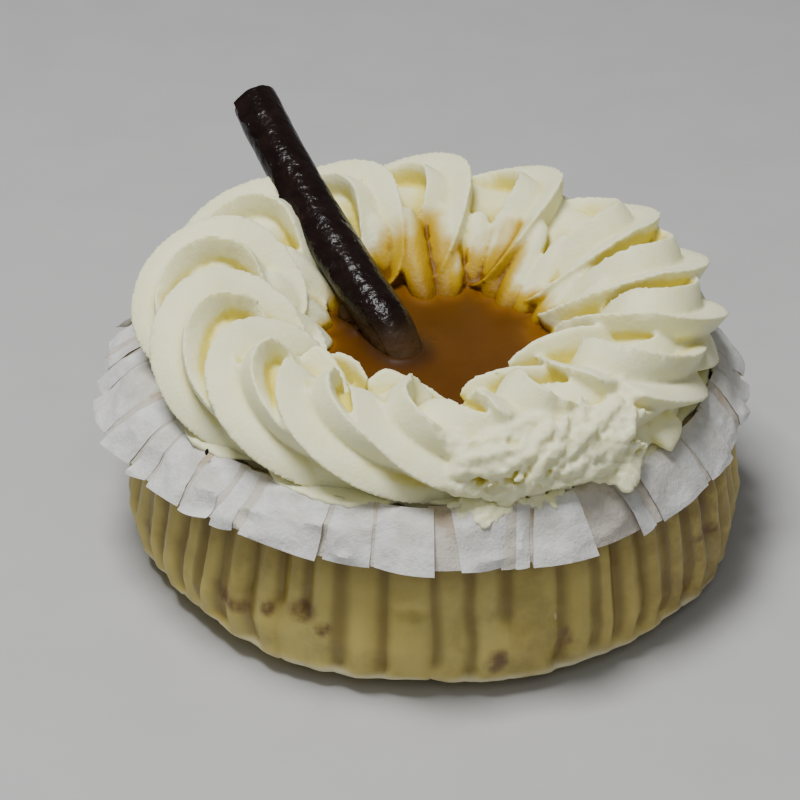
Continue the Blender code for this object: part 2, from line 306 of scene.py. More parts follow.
def ease(share):
    """Smooth step from 0 to 1, of a number or an array."""
    share = np.clip(share, 0.0, 1.0)
    return share * share * (3.0 - 2.0 * share)


def value_noise(points, seed):
    """Smooth noise from 0 to 1 at an array of points, one unit to a cell."""
    cell = np.floor(points).astype(np.int64)
    part = ease(points - cell)
    total = np.zeros(len(points))
    for corner in range(8):
        step = np.array((corner & 1, corner >> 1 & 1, corner >> 2 & 1))
        key = (cell + step) @ np.array((73856093, 19349663, 83492791)) + seed * 7919
        key = ((key ^ (key >> 13)) * 1274126177) & 0xFFFFFFFF
        key = (key ^ (key >> 15)) * 2246822519 & 0xFFFFFFFF
        key = (key ^ (key >> 16)) & 0xFFFF
        total += np.prod(np.where(step, part, 1.0 - part), axis=1) * key / 65535.0
    return total


def cloud(points, size, seed, octaves=3):
    """Layered noise from -1 to 1 whose largest lumps have a size."""
    total = np.zeros(len(points))
    weight = 1.0
    whole = 0.0
    for octave in range(octaves):
        total += weight * (2.0 * value_noise(points / size, seed + octave) - 1.0)
        whole += weight
        weight *= 0.5
        size *= 0.5
    return total / whole


def edges_of(item):
    """The object's edges as an array of pairs of vertices."""
    edges = np.empty(2 * len(item.data.edges), np.int64)
    item.data.edges.foreach_get("vertices", edges)
    return edges.reshape(-1, 2)


def neighbour_mean(item, values, rounds):
    """Average an array of vertex values with their neighbours, a number of rounds."""
    edges = edges_of(item)
    count = len(item.data.vertices)
    links = np.maximum(np.bincount(edges.ravel(), minlength=count), 1)
    values = np.array(values, float)
    for _ in range(rounds):
        total = np.zeros_like(values)
        for column in range(values.shape[1]):
            total[:, column] = np.bincount(
                edges[:, 0], weights=values[edges[:, 1], column], minlength=count
            ) + np.bincount(edges[:, 1], weights=values[edges[:, 0], column], minlength=count)
        values = 0.5 * values + 0.5 * total / links[:, None]
    return values


def groove_depth(item, rounds, reach):
    """How deep in a groove each vertex lies, 0 on open faces and ridges to 1 in deep grooves."""
    points = points_of(item)
    level = neighbour_mean(item, points, rounds)
    return np.clip(np.einsum("ij,ij->i", level - points, normals_of(item)) / reach, -1.0, 1.0)


def hidden_share(item, reach, rays=12):
    """How much of what each vertex faces is blocked by the object itself, 0 to 1."""
    points = points_of(item)
    normals = normals_of(item)
    tree = BVHTree.FromPolygons(
        [Vector(p) for p in points], [tuple(f.vertices) for f in item.data.polygons]
    )
    draw = random.Random(1)
    hits = np.zeros(len(points))
    for _ in range(rays):
        height = draw.uniform(0.25, 1.0)
        turn = draw.uniform(0.0, 2.0 * math.pi)
        flat = math.sqrt(1.0 - height * height)
        side = np.array((flat * math.cos(turn), flat * math.sin(turn), 0.3 * height))
        aim = normals * height + side
        aim /= np.linalg.norm(aim, axis=1)[:, None]
        start = points + normals * 0.05 * MM
        for i in range(len(points)):
            if tree.ray_cast(start[i], aim[i], reach)[0] is not None:
                hits[i] += 1.0
    return neighbour_mean(item, hits[:, None] / rays, 2)[:, 0]


def keep_largest_body(item):
    """Drop loose scraps and sealed pockets."""
    edges = edges_of(item)
    label = np.arange(len(item.data.vertices))
    while True:
        low = np.minimum(label[edges[:, 0]], label[edges[:, 1]])
        before = label.copy()
        np.minimum.at(label, edges[:, 0], low)
        np.minimum.at(label, edges[:, 1], low)
        label = label[label]
        if np.array_equal(label, before):
            break
    largest = np.bincount(label).argmax()
    mesh = bmesh.new()
    mesh.from_mesh(item.data)
    scraps = [v for v in mesh.verts if label[v.index] != largest]
    bmesh.ops.delete(mesh, geom=scraps, context="VERTS")
    mesh.to_mesh(item.data)
    mesh.free()


def ball(detail):
    """Points and faces of a ball of unit radius."""
    mesh = bmesh.new()
    bmesh.ops.create_icosphere(mesh, subdivisions=detail, radius=1.0)
    mesh.verts.ensure_lookup_table()
    points = np.array([v.co for v in mesh.verts])
    faces = np.array([[v.index for v in f.verts] for f in mesh.faces])
    mesh.free()
    return points, faces


def lumps(name, places, seed, detail=3, rough=0.28, blunt=1.0):
    """Uneven lumps in one object: each place is its centre, its three half sizes and its axes."""
    base, base_faces = ball(detail)
    base[:, 2] = np.sign(base[:, 2]) * np.abs(base[:, 2]) ** blunt
    points = []
    faces = []
    for number, (centre, sizes, axes) in enumerate(places):
        uneven = 1.0 + rough * cloud(base * 1.3 + 10.0 * number, 0.9, seed, 3)
        shape = (base * uneven[:, None] * sizes) @ axes + centre
        faces.append(base_faces + len(points) * len(base))
        points.append(shape)
    return new_mesh_object(name, np.concatenate(points), np.concatenate(faces))


# Materials


def spots_group():
    """The node group of soft uneven spots, which each material places with its own values."""
    group = bpy.data.node_groups.get("Uneven")
    if group is not None:
        return group
    group = bpy.data.node_groups.new("Uneven", "ShaderNodeTree")
    group.interface.new_socket(name="Place", in_out="INPUT", socket_type="NodeSocketVector")
    for name in ("Scale", "Detail", "Roughness", "Low", "High"):
        group.interface.new_socket(name=name, in_out="INPUT", socket_type="NodeSocketFloat")
    group.interface.new_socket(name="Spots", in_out="OUTPUT", socket_type="NodeSocketFloat")
    given = group.nodes.new("NodeGroupInput").outputs
    noise = group.nodes.new("ShaderNodeTexNoise")
    spread = group.nodes.new("ShaderNodeMapRange")
    spread.interpolation_type = "SMOOTHSTEP"
    result = group.nodes.new("NodeGroupOutput")
    for start, end in (
        (given["Place"], noise.inputs["Vector"]),
        (given["Scale"], noise.inputs["Scale"]),
        (given["Detail"], noise.inputs["Detail"]),
        (given["Roughness"], noise.inputs["Roughness"]),
        (noise.outputs["Fac"], spread.inputs["Value"]),
        (given["Low"], spread.inputs["From Min"]),
        (given["High"], spread.inputs["From Max"]),
        (spread.outputs["Result"], result.inputs["Spots"]),
    ):
        group.links.new(start, end)
    return group


class Surface:
    """A Principled material and the nodes that feed it."""

    def __init__(self, name, roughness, **values):
        self.material = bpy.data.materials.new(name)
        self.material.use_nodes = True
        self.nodes = self.material.node_tree.nodes
        self.links = self.material.node_tree.links
        self.shader = self.nodes["Principled BSDF"]
        self.shader.inputs["Roughness"].default_value = roughness
        for key, value in values.items():
            self.shader.inputs[key.replace("_", " ")].default_value = value
        self.place = self.nodes.new("ShaderNodeTexCoord").outputs["Object"]

    def put(self, socket, value):
        """Link an output to a socket, or set the socket to a number or a colour."""
        if isinstance(value, bpy.types.NodeSocket):
            self.links.new(value, socket)
        elif isinstance(value, (int, float)):
            socket.default_value = value
        else:
            socket.default_value = (*value, 1.0)

    def add(self, kind, **given):
        """A new node, with a value or a link for each socket that is named."""
        node = self.nodes.new(kind)
        for name, value in given.items():
            self.put(node.inputs[name.replace("_", " ")], value)
        return node

    def stored(self, name):
        """What the mesh stores for each vertex under a name."""
        node = self.add("ShaderNodeAttribute")
        node.attribute_name = name
        return node.outputs["Fac"]

    def spots(self, scale, low, high, detail=3.0, rough=0.55, stretch=None):
        """Uneven spots from 0 to 1, from the shared node group."""
        place = self.place
        if stretch is not None:
            mapping = self.add("ShaderNodeMapping", Vector=place)
            mapping.inputs["Scale"].default_value = stretch
            place = mapping.outputs["Vector"]
        node = self.add("ShaderNodeGroup")
        node.node_tree = spots_group()
        given = {"Place": place, "Scale": scale, "Detail": detail, "Roughness": rough}
        for name, value in (*given.items(), ("Low", low), ("High", high)):
            self.put(node.inputs[name], value)
        return node.outputs["Spots"]

    def fit(self, value, low, high, to_low=0.0, to_high=1.0):
        """A value fitted smoothly from one range to another."""
        node = self.add(
            "ShaderNodeMapRange", Value=value, From_Min=low, From_Max=high, To_Min=to_low,
            To_Max=to_high,
        )
        node.interpolation_type = "SMOOTHSTEP"
        return node.outputs["Result"]

    def calculate(self, operation, first, second):
        """What a sum makes of two values."""
        node = self.add("ShaderNodeMath")
        node.operation = operation
        self.put(node.inputs[0], first)
        self.put(node.inputs[1], second)
        return node.outputs[0]

    def times(self, first, second):
        """The product of two values."""
        return self.calculate("MULTIPLY", first, second)

    def blend(self, factor, first, second):
        """The first colour, turned into the second by a factor."""
        node = self.add("ShaderNodeMix")
        node.data_type = "RGBA"
        for number, value in ((0, factor), (6, first), (7, second)):
            self.put(node.inputs[number], value)
        return node.outputs[2]

    def bump(self, height, distance, strength):
        """Let a height that varies over the surface tilt the normal."""
        node = self.add("ShaderNodeBump", Height=height, Distance=distance, Strength=strength)
        self.links.new(node.outputs["Normal"], self.shader.inputs["Normal"])

    def feed(self, socket, value):
        """Link an output to a socket of the shader."""
        self.links.new(value, self.shader.inputs[socket])


def cream_material(settings):
    """Piped cream: ivory with painted yellow shade in its grooves, stained by the caramel near it.
    """
    cream = Surface(
        "Piped cream", 0.42, Subsurface_Weight=0.5, Subsurface_Radius=(1.0, 0.9, 0.3),
        Subsurface_Scale=0.0011, Specular_IOR_Level=0.2,
    )
    # Painted shade: the stored groove value turns the cream towards the darker yellow shade colour
    # in grooves and where the ring hides itself
    groove = cream.stored("groove")
    colour = cream.blend(cream.fit(groove, 0.02, 0.8), settings.colour, settings.groove_shade_and_mottle_colour)
    mottle = cream.times(cream.spots(260.0, 0.35, 0.75, 4.0), 0.12)
    colour = cream.blend(mottle, colour, settings.groove_shade_and_mottle_colour)
    wet = cream.fit(groove, 0.0, 0.5, 0.72, 1.8)
    stain = cream.times(cream.stored("stain"), wet)
    colour = cream.blend(cream.fit(stain, 0.08, 0.42), colour, settings.faint_stain_colour)
    deep = cream.fit(stain, 0.3, 0.78, 0.0, 0.95)
    cream.feed("Base Color", cream.blend(deep, colour, settings.stain_colour))
    cream.bump(cream.spots(1500.0, 0.0, 1.0, 5.0, 0.6), 0.00016, 0.6)
    return cream.material


def paper_wall_material(settings):
    """Greasy baking paper over the filling: tan, painted shade in its folds and under the collar,
    biscuit showing low.
    """
    wall = Surface("Fluted paper", 0.42)
    shade_and_grease_colour = settings.wall_shade_and_grease_colour
    height = wall.add("ShaderNodeSeparateXYZ", Vector=wall.place).outputs["Z"]
    streak = wall.spots(160.0, 0.35, 0.7, 3.0, 0.5, (1.0, 1.0, 0.22))
    colour = wall.blend(streak, settings.wall_colour, settings.wall_pale_colour)
    # Painted shade: the paper darkens towards the shade colour in the valleys of its flutes
    crease = wall.fit(wall.stored("fold"), 0.0, 0.8, 0.66, 0.0)
    colour = wall.blend(crease, colour, shade_and_grease_colour)
    darkened = wall.times(wall.spots(120.0, 0.45, 0.75, 4.0, 0.6), 0.4)
    colour = wall.blend(darkened, colour, shade_and_grease_colour)
    # Painted shadow of the collar: the wall darkens towards its top, from 15 mm up to 27 mm high
    colour = wall.blend(wall.fit(height, 0.015, 0.027, 0.0, 0.5), colour, shade_and_grease_colour)
    red = wall.fit(wall.spots(300.0, 0.25, 0.65, 3.0, 0.6), 0.0, 1.0, 0.35, 0.9)
    red = wall.times(wall.stored("biscuit"), red)
    colour = wall.blend(red, colour, settings.biscuit_colour)
    dry = wall.times(wall.stored("dry"), 0.25)
    colour = wall.blend(dry, colour, settings.dry_paper_colour)
    edge = wall.fit(wall.spots(200.0, 0.25, 0.6, 4.0), 0.0, 1.0, 0.35, 1.0)
    edge = wall.times(wall.stored("edge"), edge)
    wall.feed("Base Color", wall.blend(edge, colour, settings.edge_colour))
    cloudy = wall.spots(90.0, 0.3, 0.7, 4.0)
    wall.feed("Roughness", wall.fit(cloudy, 0.0, 1.0, 0.36, 0.55))
    wall.bump(wall.spots(900.0, 0.0, 1.0, 4.0, 0.6), 0.00015, 0.45)
    return wall.material


def collar_material(settings):
    """White baking paper: soft fibres, greasy patches and pinkish stains near the cream, partly
    painted shade.
    """
    collar = Surface("White paper", 0.7)
    mottle = collar.spots(300.0, 0.38, 0.68, 5.0, 0.65)
    colour = collar.blend(mottle, settings.collar_colour, settings.collar_shade_colour)
    # Partly stain, partly painted shade: ragged patches grow towards the neck, under the cream, and
    # set-in panels are darkened
    near = collar.fit(collar.stored("slope"), 0.25, 0.9, 1.0, 0.2)
    stain_and_shade = collar.times(collar.spots(120.0, 0.38, 0.6, 4.0, 0.6), near)
    set_in = collar.stored("set_in")
    stain_and_shade = collar.times(stain_and_shade, collar.fit(set_in, 0.0, 1.0, 0.35, 1.0))
    stain_and_shade = collar.calculate("MAXIMUM", stain_and_shade, collar.times(set_in, 0.5))
    collar.feed("Base Color", collar.blend(stain_and_shade, colour, settings.collar_stain_and_shade_colour))
    collar.bump(collar.spots(1100.0, 0.0, 1.0, 5.0, 0.7), 0.0004, 0.6)
    return collar.material


def caramel_material(settings):
    """Glossy caramel, paler where it thins out at the cream, with painted shade round the stick."""
    caramel = Surface("Caramel", 0.34, IOR=1.45, Specular_IOR_Level=0.3)
    swirl = caramel.spots(70.0, 0.3, 0.7)
    colour = caramel.blend(swirl, settings.colour, settings.pale_colour)
    colour = caramel.blend(caramel.stored("thin"), colour, settings.edge_colour)
    # Painted shade: the caramel darkens close to the stick, where the two meet
    dark = caramel.times(caramel.stored("near_stick"), 0.75)
    caramel.feed("Base Color", caramel.blend(dark, colour, settings.stick_shade_colour))
    caramel.feed("Roughness", caramel.fit(swirl, 0.0, 1.0, 0.3, 0.42))
    caramel.bump(caramel.spots(180.0, 0.0, 1.0, 2.0), 0.0002, 0.35)
    return caramel.material


def chocolate_material(settings):
    """Dark chocolate with a grained gloss, filmed with caramel at its foot."""
    chocolate = Surface("Dark chocolate", 0.36, IOR=1.45, Specular_IOR_Level=0.17)
    film = chocolate.stored("film")
    mottle = chocolate.spots(350.0, 0.3, 0.75, 4.0)
    colour = chocolate.blend(mottle, settings.colour, settings.pale_colour)
    chocolate.feed("Base Color", chocolate.blend(film, colour, settings.film_colour))
    chocolate.feed("Roughness", chocolate.fit(film, 0.0, 0.6, 0.22, 0.6))
    chocolate.bump(chocolate.spots(620.0, 0.2, 0.8, 3.0, 0.5), 0.00022, 0.6)
    return chocolate.material


def layer_material(name, colour, spot_colour, scale):
    """A baked layer with crumbs or grains of a second colour."""
    layer = Surface(name, 0.7)
    grains = layer.spots(scale, 0.4, 0.65, 5.0, 0.65)
    layer.feed("Base Color", layer.blend(grains, colour, spot_colour))
    layer.bump(grains, 0.0004, 0.6)
    return layer.material


def floor_material(settings):
    """A plain pale floor with the faintest unevenness."""
    floor = Surface("Floor", 0.6)
    darker = [0.96 * c for c in settings.floor_colour]
    mottle = floor.spots(60.0, 0.3, 0.7, 4.0)
    floor.feed("Base Color", floor.blend(mottle, settings.floor_colour, darker))
    return floor.material


# Settings


def amount(name, description, default, **more):
    """A setting that is a number."""
    return bpy.props.FloatProperty(name=name, description=description, default=default, **more)


def length(name, description, default):
    """A length setting."""
    return amount(name, description, default, unit="LENGTH", precision=4)


def in_degrees(name, description, degrees):
    """An angle setting."""
    return amount(name, description, math.radians(degrees), subtype="ANGLE")


def tint(name, description, default):
    """A colour setting."""
    return bpy.props.FloatVectorProperty(
        name=name, description=description, default=default, subtype="COLOR", min=0.0, max=1.0
    )


class CreamSettings(bpy.types.PropertyGroup):
    """Sizes and colours of the cream."""

    ring_radius: length("Ring radius", "Radius of the line the loops circle", 0.0336)
    ring_height: length("Ring height", "Height of that line", 0.0374)
    loop_reach: length("Loop reach", "How far a loop swings in and out", 0.0066)
    inner_reach: length("Inner reach", "How much further it swings in", 0.0028)
    inner_drop: length("Inner drop", "How far it drops on the inner side", 0.0070)
    head_rise: length("Head rise", "How high the head of a loop rises", 0.0022)
    tail_drop: length("Tail drop", "How far its tail sinks", 0.0012)
    rope_radius: length("Rope radius", "Radius of the piped rope to its ridges", 0.0077)
    ribs: bpy.props.IntProperty(name="Ribs", description="Ridges round the rope", default=6)
    rib_depth: amount("Rib depth", "Depth of a groove as a share of the radius", 0.5)
    wind: amount("Wind", "How fast the ribs wind round the rope", 0.8)
    back_wind: amount("Back wind", "The same for the slim loops at the back", 0.3)
    lean: in_degrees("Lean", "How far a loop leans", 13.0)
    back_lean: in_degrees("Back lean", "The same for the slim loops at the back", 7.0)
    pitch: in_degrees("Pitch", "Advance of a loop round the ring", 26.0)
    colour: tint("Cream", "Cream on open faces", (0.86, 0.85, 0.56))
    # Painted shade of the grooves and hollows, also used for random mottle
    groove_shade_and_mottle_colour: tint("Groove", "Cream deep in its grooves", (0.70, 0.61, 0.12))
    faint_stain_colour: tint("Faint stain", "Cream just touched by caramel", (0.54, 0.35, 0.010))
    stain_colour: tint("Stain", "Cream soaked with caramel", (0.17, 0.066, 0.0006))


class PaperSettings(bpy.types.PropertyGroup):
    """Sizes and colours of the paper case."""

    flutes: bpy.props.IntProperty(name="Flutes", description="Flutes of the wall", default=45)
    flute_depth: length("Flute depth", "Half the depth of a flute", 0.0009)
    thickness: length("Thickness", "Thickness of the paper", 0.00015)
    rim_radius: length("Rim radius", "Radius of the collar's rim", 0.0494)
    rim_height: length("Rim height", "Height of the collar's rim", 0.0246)
    pleat_step: length("Pleat step", "Depth of a step between the collar's pleats", 0.0013)
    wall_colour: tint("Wall", "Paper over the filling", (0.60, 0.475, 0.12))
    wall_pale_colour: tint("Wall, pale", "Paler streaks of the wall", (0.66, 0.535, 0.15))
    # Painted shade of the flutes' valleys and painted shadow under the collar, also the colour of
    # darker grease spots
    wall_shade_and_grease_colour: tint("Wall, folds", "Paper in the folds", (0.15, 0.088, 0.010))
    biscuit_colour: tint("Biscuit", "Biscuit that shows through", (0.15, 0.066, 0.02))
    edge_colour: tint("Edge", "Bottom fold of the wall", (0.80, 0.74, 0.48))
    dry_paper_colour: tint("Dry paper", "Paper that stands off the cake", (0.60, 0.53, 0.26))
    collar_colour: tint("Collar", "White paper", (0.73, 0.73, 0.71))
    collar_shade_colour: tint("Collar, shade", "Greyer fibres", (0.62, 0.61, 0.58))
    # Partly stain, partly painted shade near the cream and on the set-in panels
    collar_stain_and_shade_colour: tint("Collar, stain", "Stains near the cream", (0.46, 0.37, 0.25))


class CaramelSettings(bpy.types.PropertyGroup):
    """Sizes and colours of the caramel."""

    radius: length("Radius", "Radius of the pool, under the cream too", 0.0225)
    height: length("Height", "Height of its surface", 0.0328)
    colour: tint("Caramel", "Caramel", (0.075, 0.025, 0.0006))
    pale_colour: tint("Caramel, pale", "Paler swirls", (0.096, 0.033, 0.0012))
    # Painted shade round the stick's foot
    stick_shade_colour: tint("Caramel, dark", "Caramel round the stick", (0.022, 0.008, 0.0015))
    edge_colour: tint("Caramel, edge", "Thin caramel at the cream", (0.24, 0.095, 0.004))


class StickSettings(bpy.types.PropertyGroup):
    """Sizes and colours of the chocolate stick."""

    radius: length("Radius", "Radius of the stick", 0.0043)
    colour: tint("Chocolate", "Dark chocolate", (0.007, 0.0034, 0.003))
    pale_colour: tint("Chocolate, pale", "Where it is scuffed", (0.013, 0.007, 0.006))
    film_colour: tint("Film", "Caramel film at the foot", (0.052, 0.026, 0.0085))


class StageSettings(bpy.types.PropertyGroup):
    """The floor, the camera and the lights."""

    floor_colour: tint("Floor", "Floor", (0.47, 0.468, 0.465))
    distance: length("Distance", "From the camera to the cake", 0.400)
    elevation: in_degrees("Elevation", "Camera above the table", 33.2)
    lens: amount("Lens", "Focal length in millimetres", 111.33)
    key_power: amount("Key", "Light from above on the left", 4.45, unit="POWER")
    fill_power: amount("Fill", "Light from above in front", 0.4, unit="POWER")
    sky: amount("Sky", "Strength of the light from all round", 0.185)


# Cream: dabs on the paper, each with its angle, radius, height, size, spread and number
DABS = (
    (275.5, 44.0, 31.7, 1.0, 1.3, 20), (279.0, 45.2, 31.0, 1.1, 1.2, 26),
    (282.5, 44.4, 31.5, 1.0, 1.2, 20), (290.0, 44.3, 31.8, 0.9, 1.6, 18),
    (294.0, 44.0, 32.0, 0.8, 1.0, 10), (252.0, 45.6, 31.0, 0.5, 2.4, 9),
)
# Radius of the bed's edge at angles round it, in degrees and millimetres
BED_EDGE = (
    (100.0, 43.4), (200.0, 43.2), (211.0, 44.8), (218.0, 45.2), (224.0, 44.4), (229.5, 42.2),
    (233.0, 42.2), (238.0, 44.6), (247.0, 46.0), (254.0, 45.8), (258.5, 44.0), (262.0, 42.6),
    (286.0, 43.0), (300.0, 43.4),
)


def loop_point(settings, turn, head_angle, further, out, up, broad):
    """Centre and share of full thickness of one piped loop, whose head is at 90 degrees."""
    sine = math.sin(turn)
    cosine = math.cos(turn)
    advance = settings.pitch * (turn - math.pi / 2.0) / (2.0 * math.pi)
    lean = settings.back_lean + (settings.lean - settings.back_lean) * broad
    angle = head_angle + lean * (1.0 - sine) + advance
    radius = settings.ring_radius - (settings.loop_reach - BROAD_REACH * broad) * cosine
    radius += out * (0.5 - 0.5 * cosine)
    height = settings.ring_height - BROAD_DROP * broad
    height += (settings.head_rise if sine > 0.0 else settings.tail_drop) * sine
    height += up * (0.5 + 0.5 * sine)
    inward = max(0.0, cosine) ** 1.3
    radius -= (settings.inner_reach + further) * inward
    height -= settings.inner_drop * inward
    rising = ease((turn - LOOP_START) / (math.pi / 2.0 - LOOP_START))
    falling = ease((turn - math.pi / 2.0) / (LOOP_END - math.pi / 2.0))
    swell = 0.8 + 0.2 * rising - 0.25 * falling
    return Vector((radius * math.cos(angle), radius * math.sin(angle), height)), swell


def star_outline(settings):
    """The outline of the star nozzle, of unit radius in millimetres."""
    curve = bpy.data.curves.new("star", "CURVE")
    curve.dimensions = "2D"
    spline = curve.splines.new("POLY")
    points = TOOTH_POINTS * settings.ribs
    spline.points.add(points - 1)
    for i in range(points):
        angle = 2.0 * math.pi * i / points
        valley = abs(2.0 * (i % TOOTH_POINTS) / TOOTH_POINTS - 1.0)
        reach = MM * (1.0 - settings.rib_depth * valley ** 0.8)
        spline.points[i].co = (reach * math.cos(angle), reach * math.sin(angle), 0.0, 1.0)
    spline.use_cyclic_u = True
    star = bpy.data.objects.new("star", curve)
    bpy.context.scene.collection.objects.link(star)
    return star


def rope_loop(settings, star, head_angle, shifts, draw):
    """One loop of piped rope as a closed mesh, whose ribs wind round it as it turns."""
    curve = bpy.data.curves.new("loop", "CURVE")
    curve.dimensions = "3D"
    curve.twist_mode = "Z_UP"
    curve.bevel_mode = "OBJECT"
    curve.bevel_object = star
    curve.use_fill_caps = True
    spline = curve.splines.new("POLY")
    spline.points.add(LOOP_POINTS - 1)
    thick = (settings.rope_radius + BROAD_RADIUS * shifts[-1]) / MM * draw.uniform(0.97, 1.03)
    tilt = math.radians(ROPE_TILT + draw.uniform(-ROPE_TILT_SPREAD, ROPE_TILT_SPREAD))
    wind = settings.back_wind + (settings.wind - settings.back_wind) * shifts[-1]
    for i in range(LOOP_POINTS):
        turn = LOOP_START + (LOOP_END - LOOP_START) * i / (LOOP_POINTS - 1)
        centre, swell = loop_point(settings, turn, head_angle, *shifts)
        spline.points[i].co = (*centre, 1.0)
        spline.points[i].radius = thick * swell
        spline.points[i].tilt = tilt + wind * (turn - math.pi / 2.0)
    loop = bpy.data.objects.new("loop", curve)
    bpy.context.scene.collection.objects.link(loop)
    select_only(loop)
    bpy.ops.object.convert(target="MESH")
    face_outward(loop, WELD)
    return loop


def ring_place(angle, radius, height):
    """A point in metres from an angle in degrees, and a radius and height in millimetres."""
    turn = math.radians(angle)
    return np.array((radius * math.cos(turn), radius * math.sin(turn), height)) * MM


def ring_axes(angle, lean=0.0):
    """Axes of a lump at an angle: along the ring, outward and up, leaned outward."""
    turn = math.radians(angle)
    out = np.array((math.cos(turn), math.sin(turn), 0.0))
    along = np.array((-out[1], out[0], 0.0))
    up = np.array((0.0, 0.0, 1.0))
    tip = math.radians(lean)
    return np.array(
        (along, out * math.cos(tip) - up * math.sin(tip), up * math.cos(tip) + out * math.sin(tip))
    )


# Cream that fills the middle of a loop: half sizes, and angle, radius and height of each
FILL_SIZES = (4.2, 3.8, 3.4)
FILLS = ((211.0, 31.0, 38.9), (235.0, 28.8, 38.4), (260.0, 29.6, 38.2), (184.0, 33.6, 39.2))
# Ribs that run down into the caramel at the back, in millimetres: radius and height of their
# tops, height of their feet, and of each its angle at the top and at the foot, radius of the foot
# and half width
FOOT_TOP = (27.6, 41.6)
FOOT_HEIGHT = 31.6
FEET = (
    (114.0, 107.0, 18.4, 2.5), (101.0, 95.0, 12.6, 2.7), (87.0, 80.0, 13.4, 2.7),
    (74.0, 67.0, 17.6, 2.4), (62.0, 55.0, 15.6, 2.5), (50.0, 43.0, 14.8, 2.3),
    (38.0, 32.0, 16.0, 2.3), (23.0, 17.0, 17.0, 2.6), (6.0, 1.0, 18.6, 2.6),
    (152.0, 148.0, 18.6, 2.8), (169.0, 166.0, 17.6, 3.0), (186.0, 183.0, 16.8, 3.0),
)
# Dips of the ring's inner crest: angle and half width in degrees, height at the crest's radius
CREST_RADIUS = 27.0
DIPS = ((276.5, 6.0, 37.8), (244.0, 9.0, 36.2), (228.0, 7.0, 38.4))


def foot_places():
    """Long lumps for the ribs that run down into the caramel."""
    places = []
    for top_angle, foot_angle, foot_radius, wide in FEET:
        top = ring_place(top_angle, *FOOT_TOP)
        foot = ring_place(foot_angle, foot_radius, FOOT_HEIGHT)
        along = (foot - top) / np.linalg.norm(foot - top)
        across = np.cross(along, (0.0, 0.0, 1.0))
        across /= np.linalg.norm(across)
        axes = np.array((across, np.cross(across, along), along))
        sizes = np.array((wide * MM, 0.8 * wide * MM, 0.54 * np.linalg.norm(foot - top)))
        places.append((0.5 * (top + foot), sizes, axes))
    return places


def dip_crest(item):
    """Lower the ring's inner crest where the pool shows through between its lobes."""
    points = points_of(item)
    angle, radius = angle_and_radius(points)
    degrees = np.degrees(angle) % 360.0
    radius = radius / MM
    for middle, wide, level in DIPS:
        cap = (level + 0.68 * (radius - CREST_RADIUS)) * MM
        share = bell(degrees, middle, wide) * ease((CREST_RADIUS + 6.0 - radius) / 3.0)
        points[:, 2] -= 0.95 * share * np.maximum(points[:, 2] - cap, 0.0)
    move_points(item, points)


def torn_share(points):
    """How far each point lies in the torn stretch of the ring's outer slope, 0 to 1."""
    angle, radius = angle_and_radius(points)
    degrees = np.degrees(angle) % 360.0 + 4.0 * cloud(points, 5.0 * MM, 13, 3)
    inner = radius + 2.5 * MM * cloud(points, 4.0 * MM, 17, 3)
    ends = ease((degrees - TORN_FROM) / 4.0) * ease((TORN_TO - degrees) / 4.0)
    return ends * ease((inner - 38.0 * MM) / (2.0 * MM))


def tear(item):
    """Flatten the ribs where the cream is torn, down to a plain slope."""
    points = points_of(item)
    radius = np.hypot(points[:, 0], points[:, 1])
    out = radius - CORE_RADIUS * MM
    up = points[:, 2] - CORE_HEIGHT * MM
    reach = np.hypot(out, up)
    lean = np.arctan2(up, out)
    plain = MM / np.hypot(np.cos(lean) / SLOPE_OUT, np.sin(lean) / SLOPE_UP)
    new_reach = reach + torn_share(points) * np.minimum(plain - reach, 0.0)
    points[:, :2] *= ((CORE_RADIUS * MM + new_reach * np.cos(lean)) / radius)[:, None]
    points[:, 2] = CORE_HEIGHT * MM + new_reach * np.sin(lean)
    move_points(item, points)


def torn_place(angle, lean, reach):
    """A point on the torn slope, from its angles in degrees and its share of the slope's reach."""
    tip = math.radians(lean)
    plain = reach / math.hypot(math.cos(tip) / SLOPE_OUT, math.sin(tip) / SLOPE_UP)
    radius = CORE_RADIUS + plain * math.cos(tip)
    return ring_place(angle, radius, CORE_HEIGHT + plain * math.sin(tip))


def torn_lumps(draw):
    """Torn cream: long smears that rise to the right, and crumbs, most of them at the right."""
    places = []
    for number in range(TORN_SMEARS + TORN_CRUMBS):
        crumb = number >= TORN_SMEARS
        angle = draw.triangular(TORN_FROM + 2.0, TORN_TO - 2.0, 307.0 if crumb else 292.0)
        lean = draw.uniform(-22.0, 48.0)
        size = draw.uniform(0.25, 0.65) if crumb else draw.uniform(0.9, 1.9)
        reach = draw.uniform(0.95, 1.03) if crumb else draw.uniform(0.84, 0.96)
        stretch = draw.uniform(1.0, 1.8) if crumb else draw.uniform(1.8, 3.4)
        sizes = np.array((size * stretch, size * 0.7, size * 0.75)) * MM
        along, down, normal = ring_axes(angle, 90.0 - lean)
        rise = math.radians(draw.gauss(28.0, 18.0))
        axes = np.array((
            along * math.cos(rise) - down * math.sin(rise),
            along * math.sin(rise) + down * math.cos(rise),
            normal,
        ))
        places.append((torn_place(angle, lean, reach), sizes, axes))
    return places


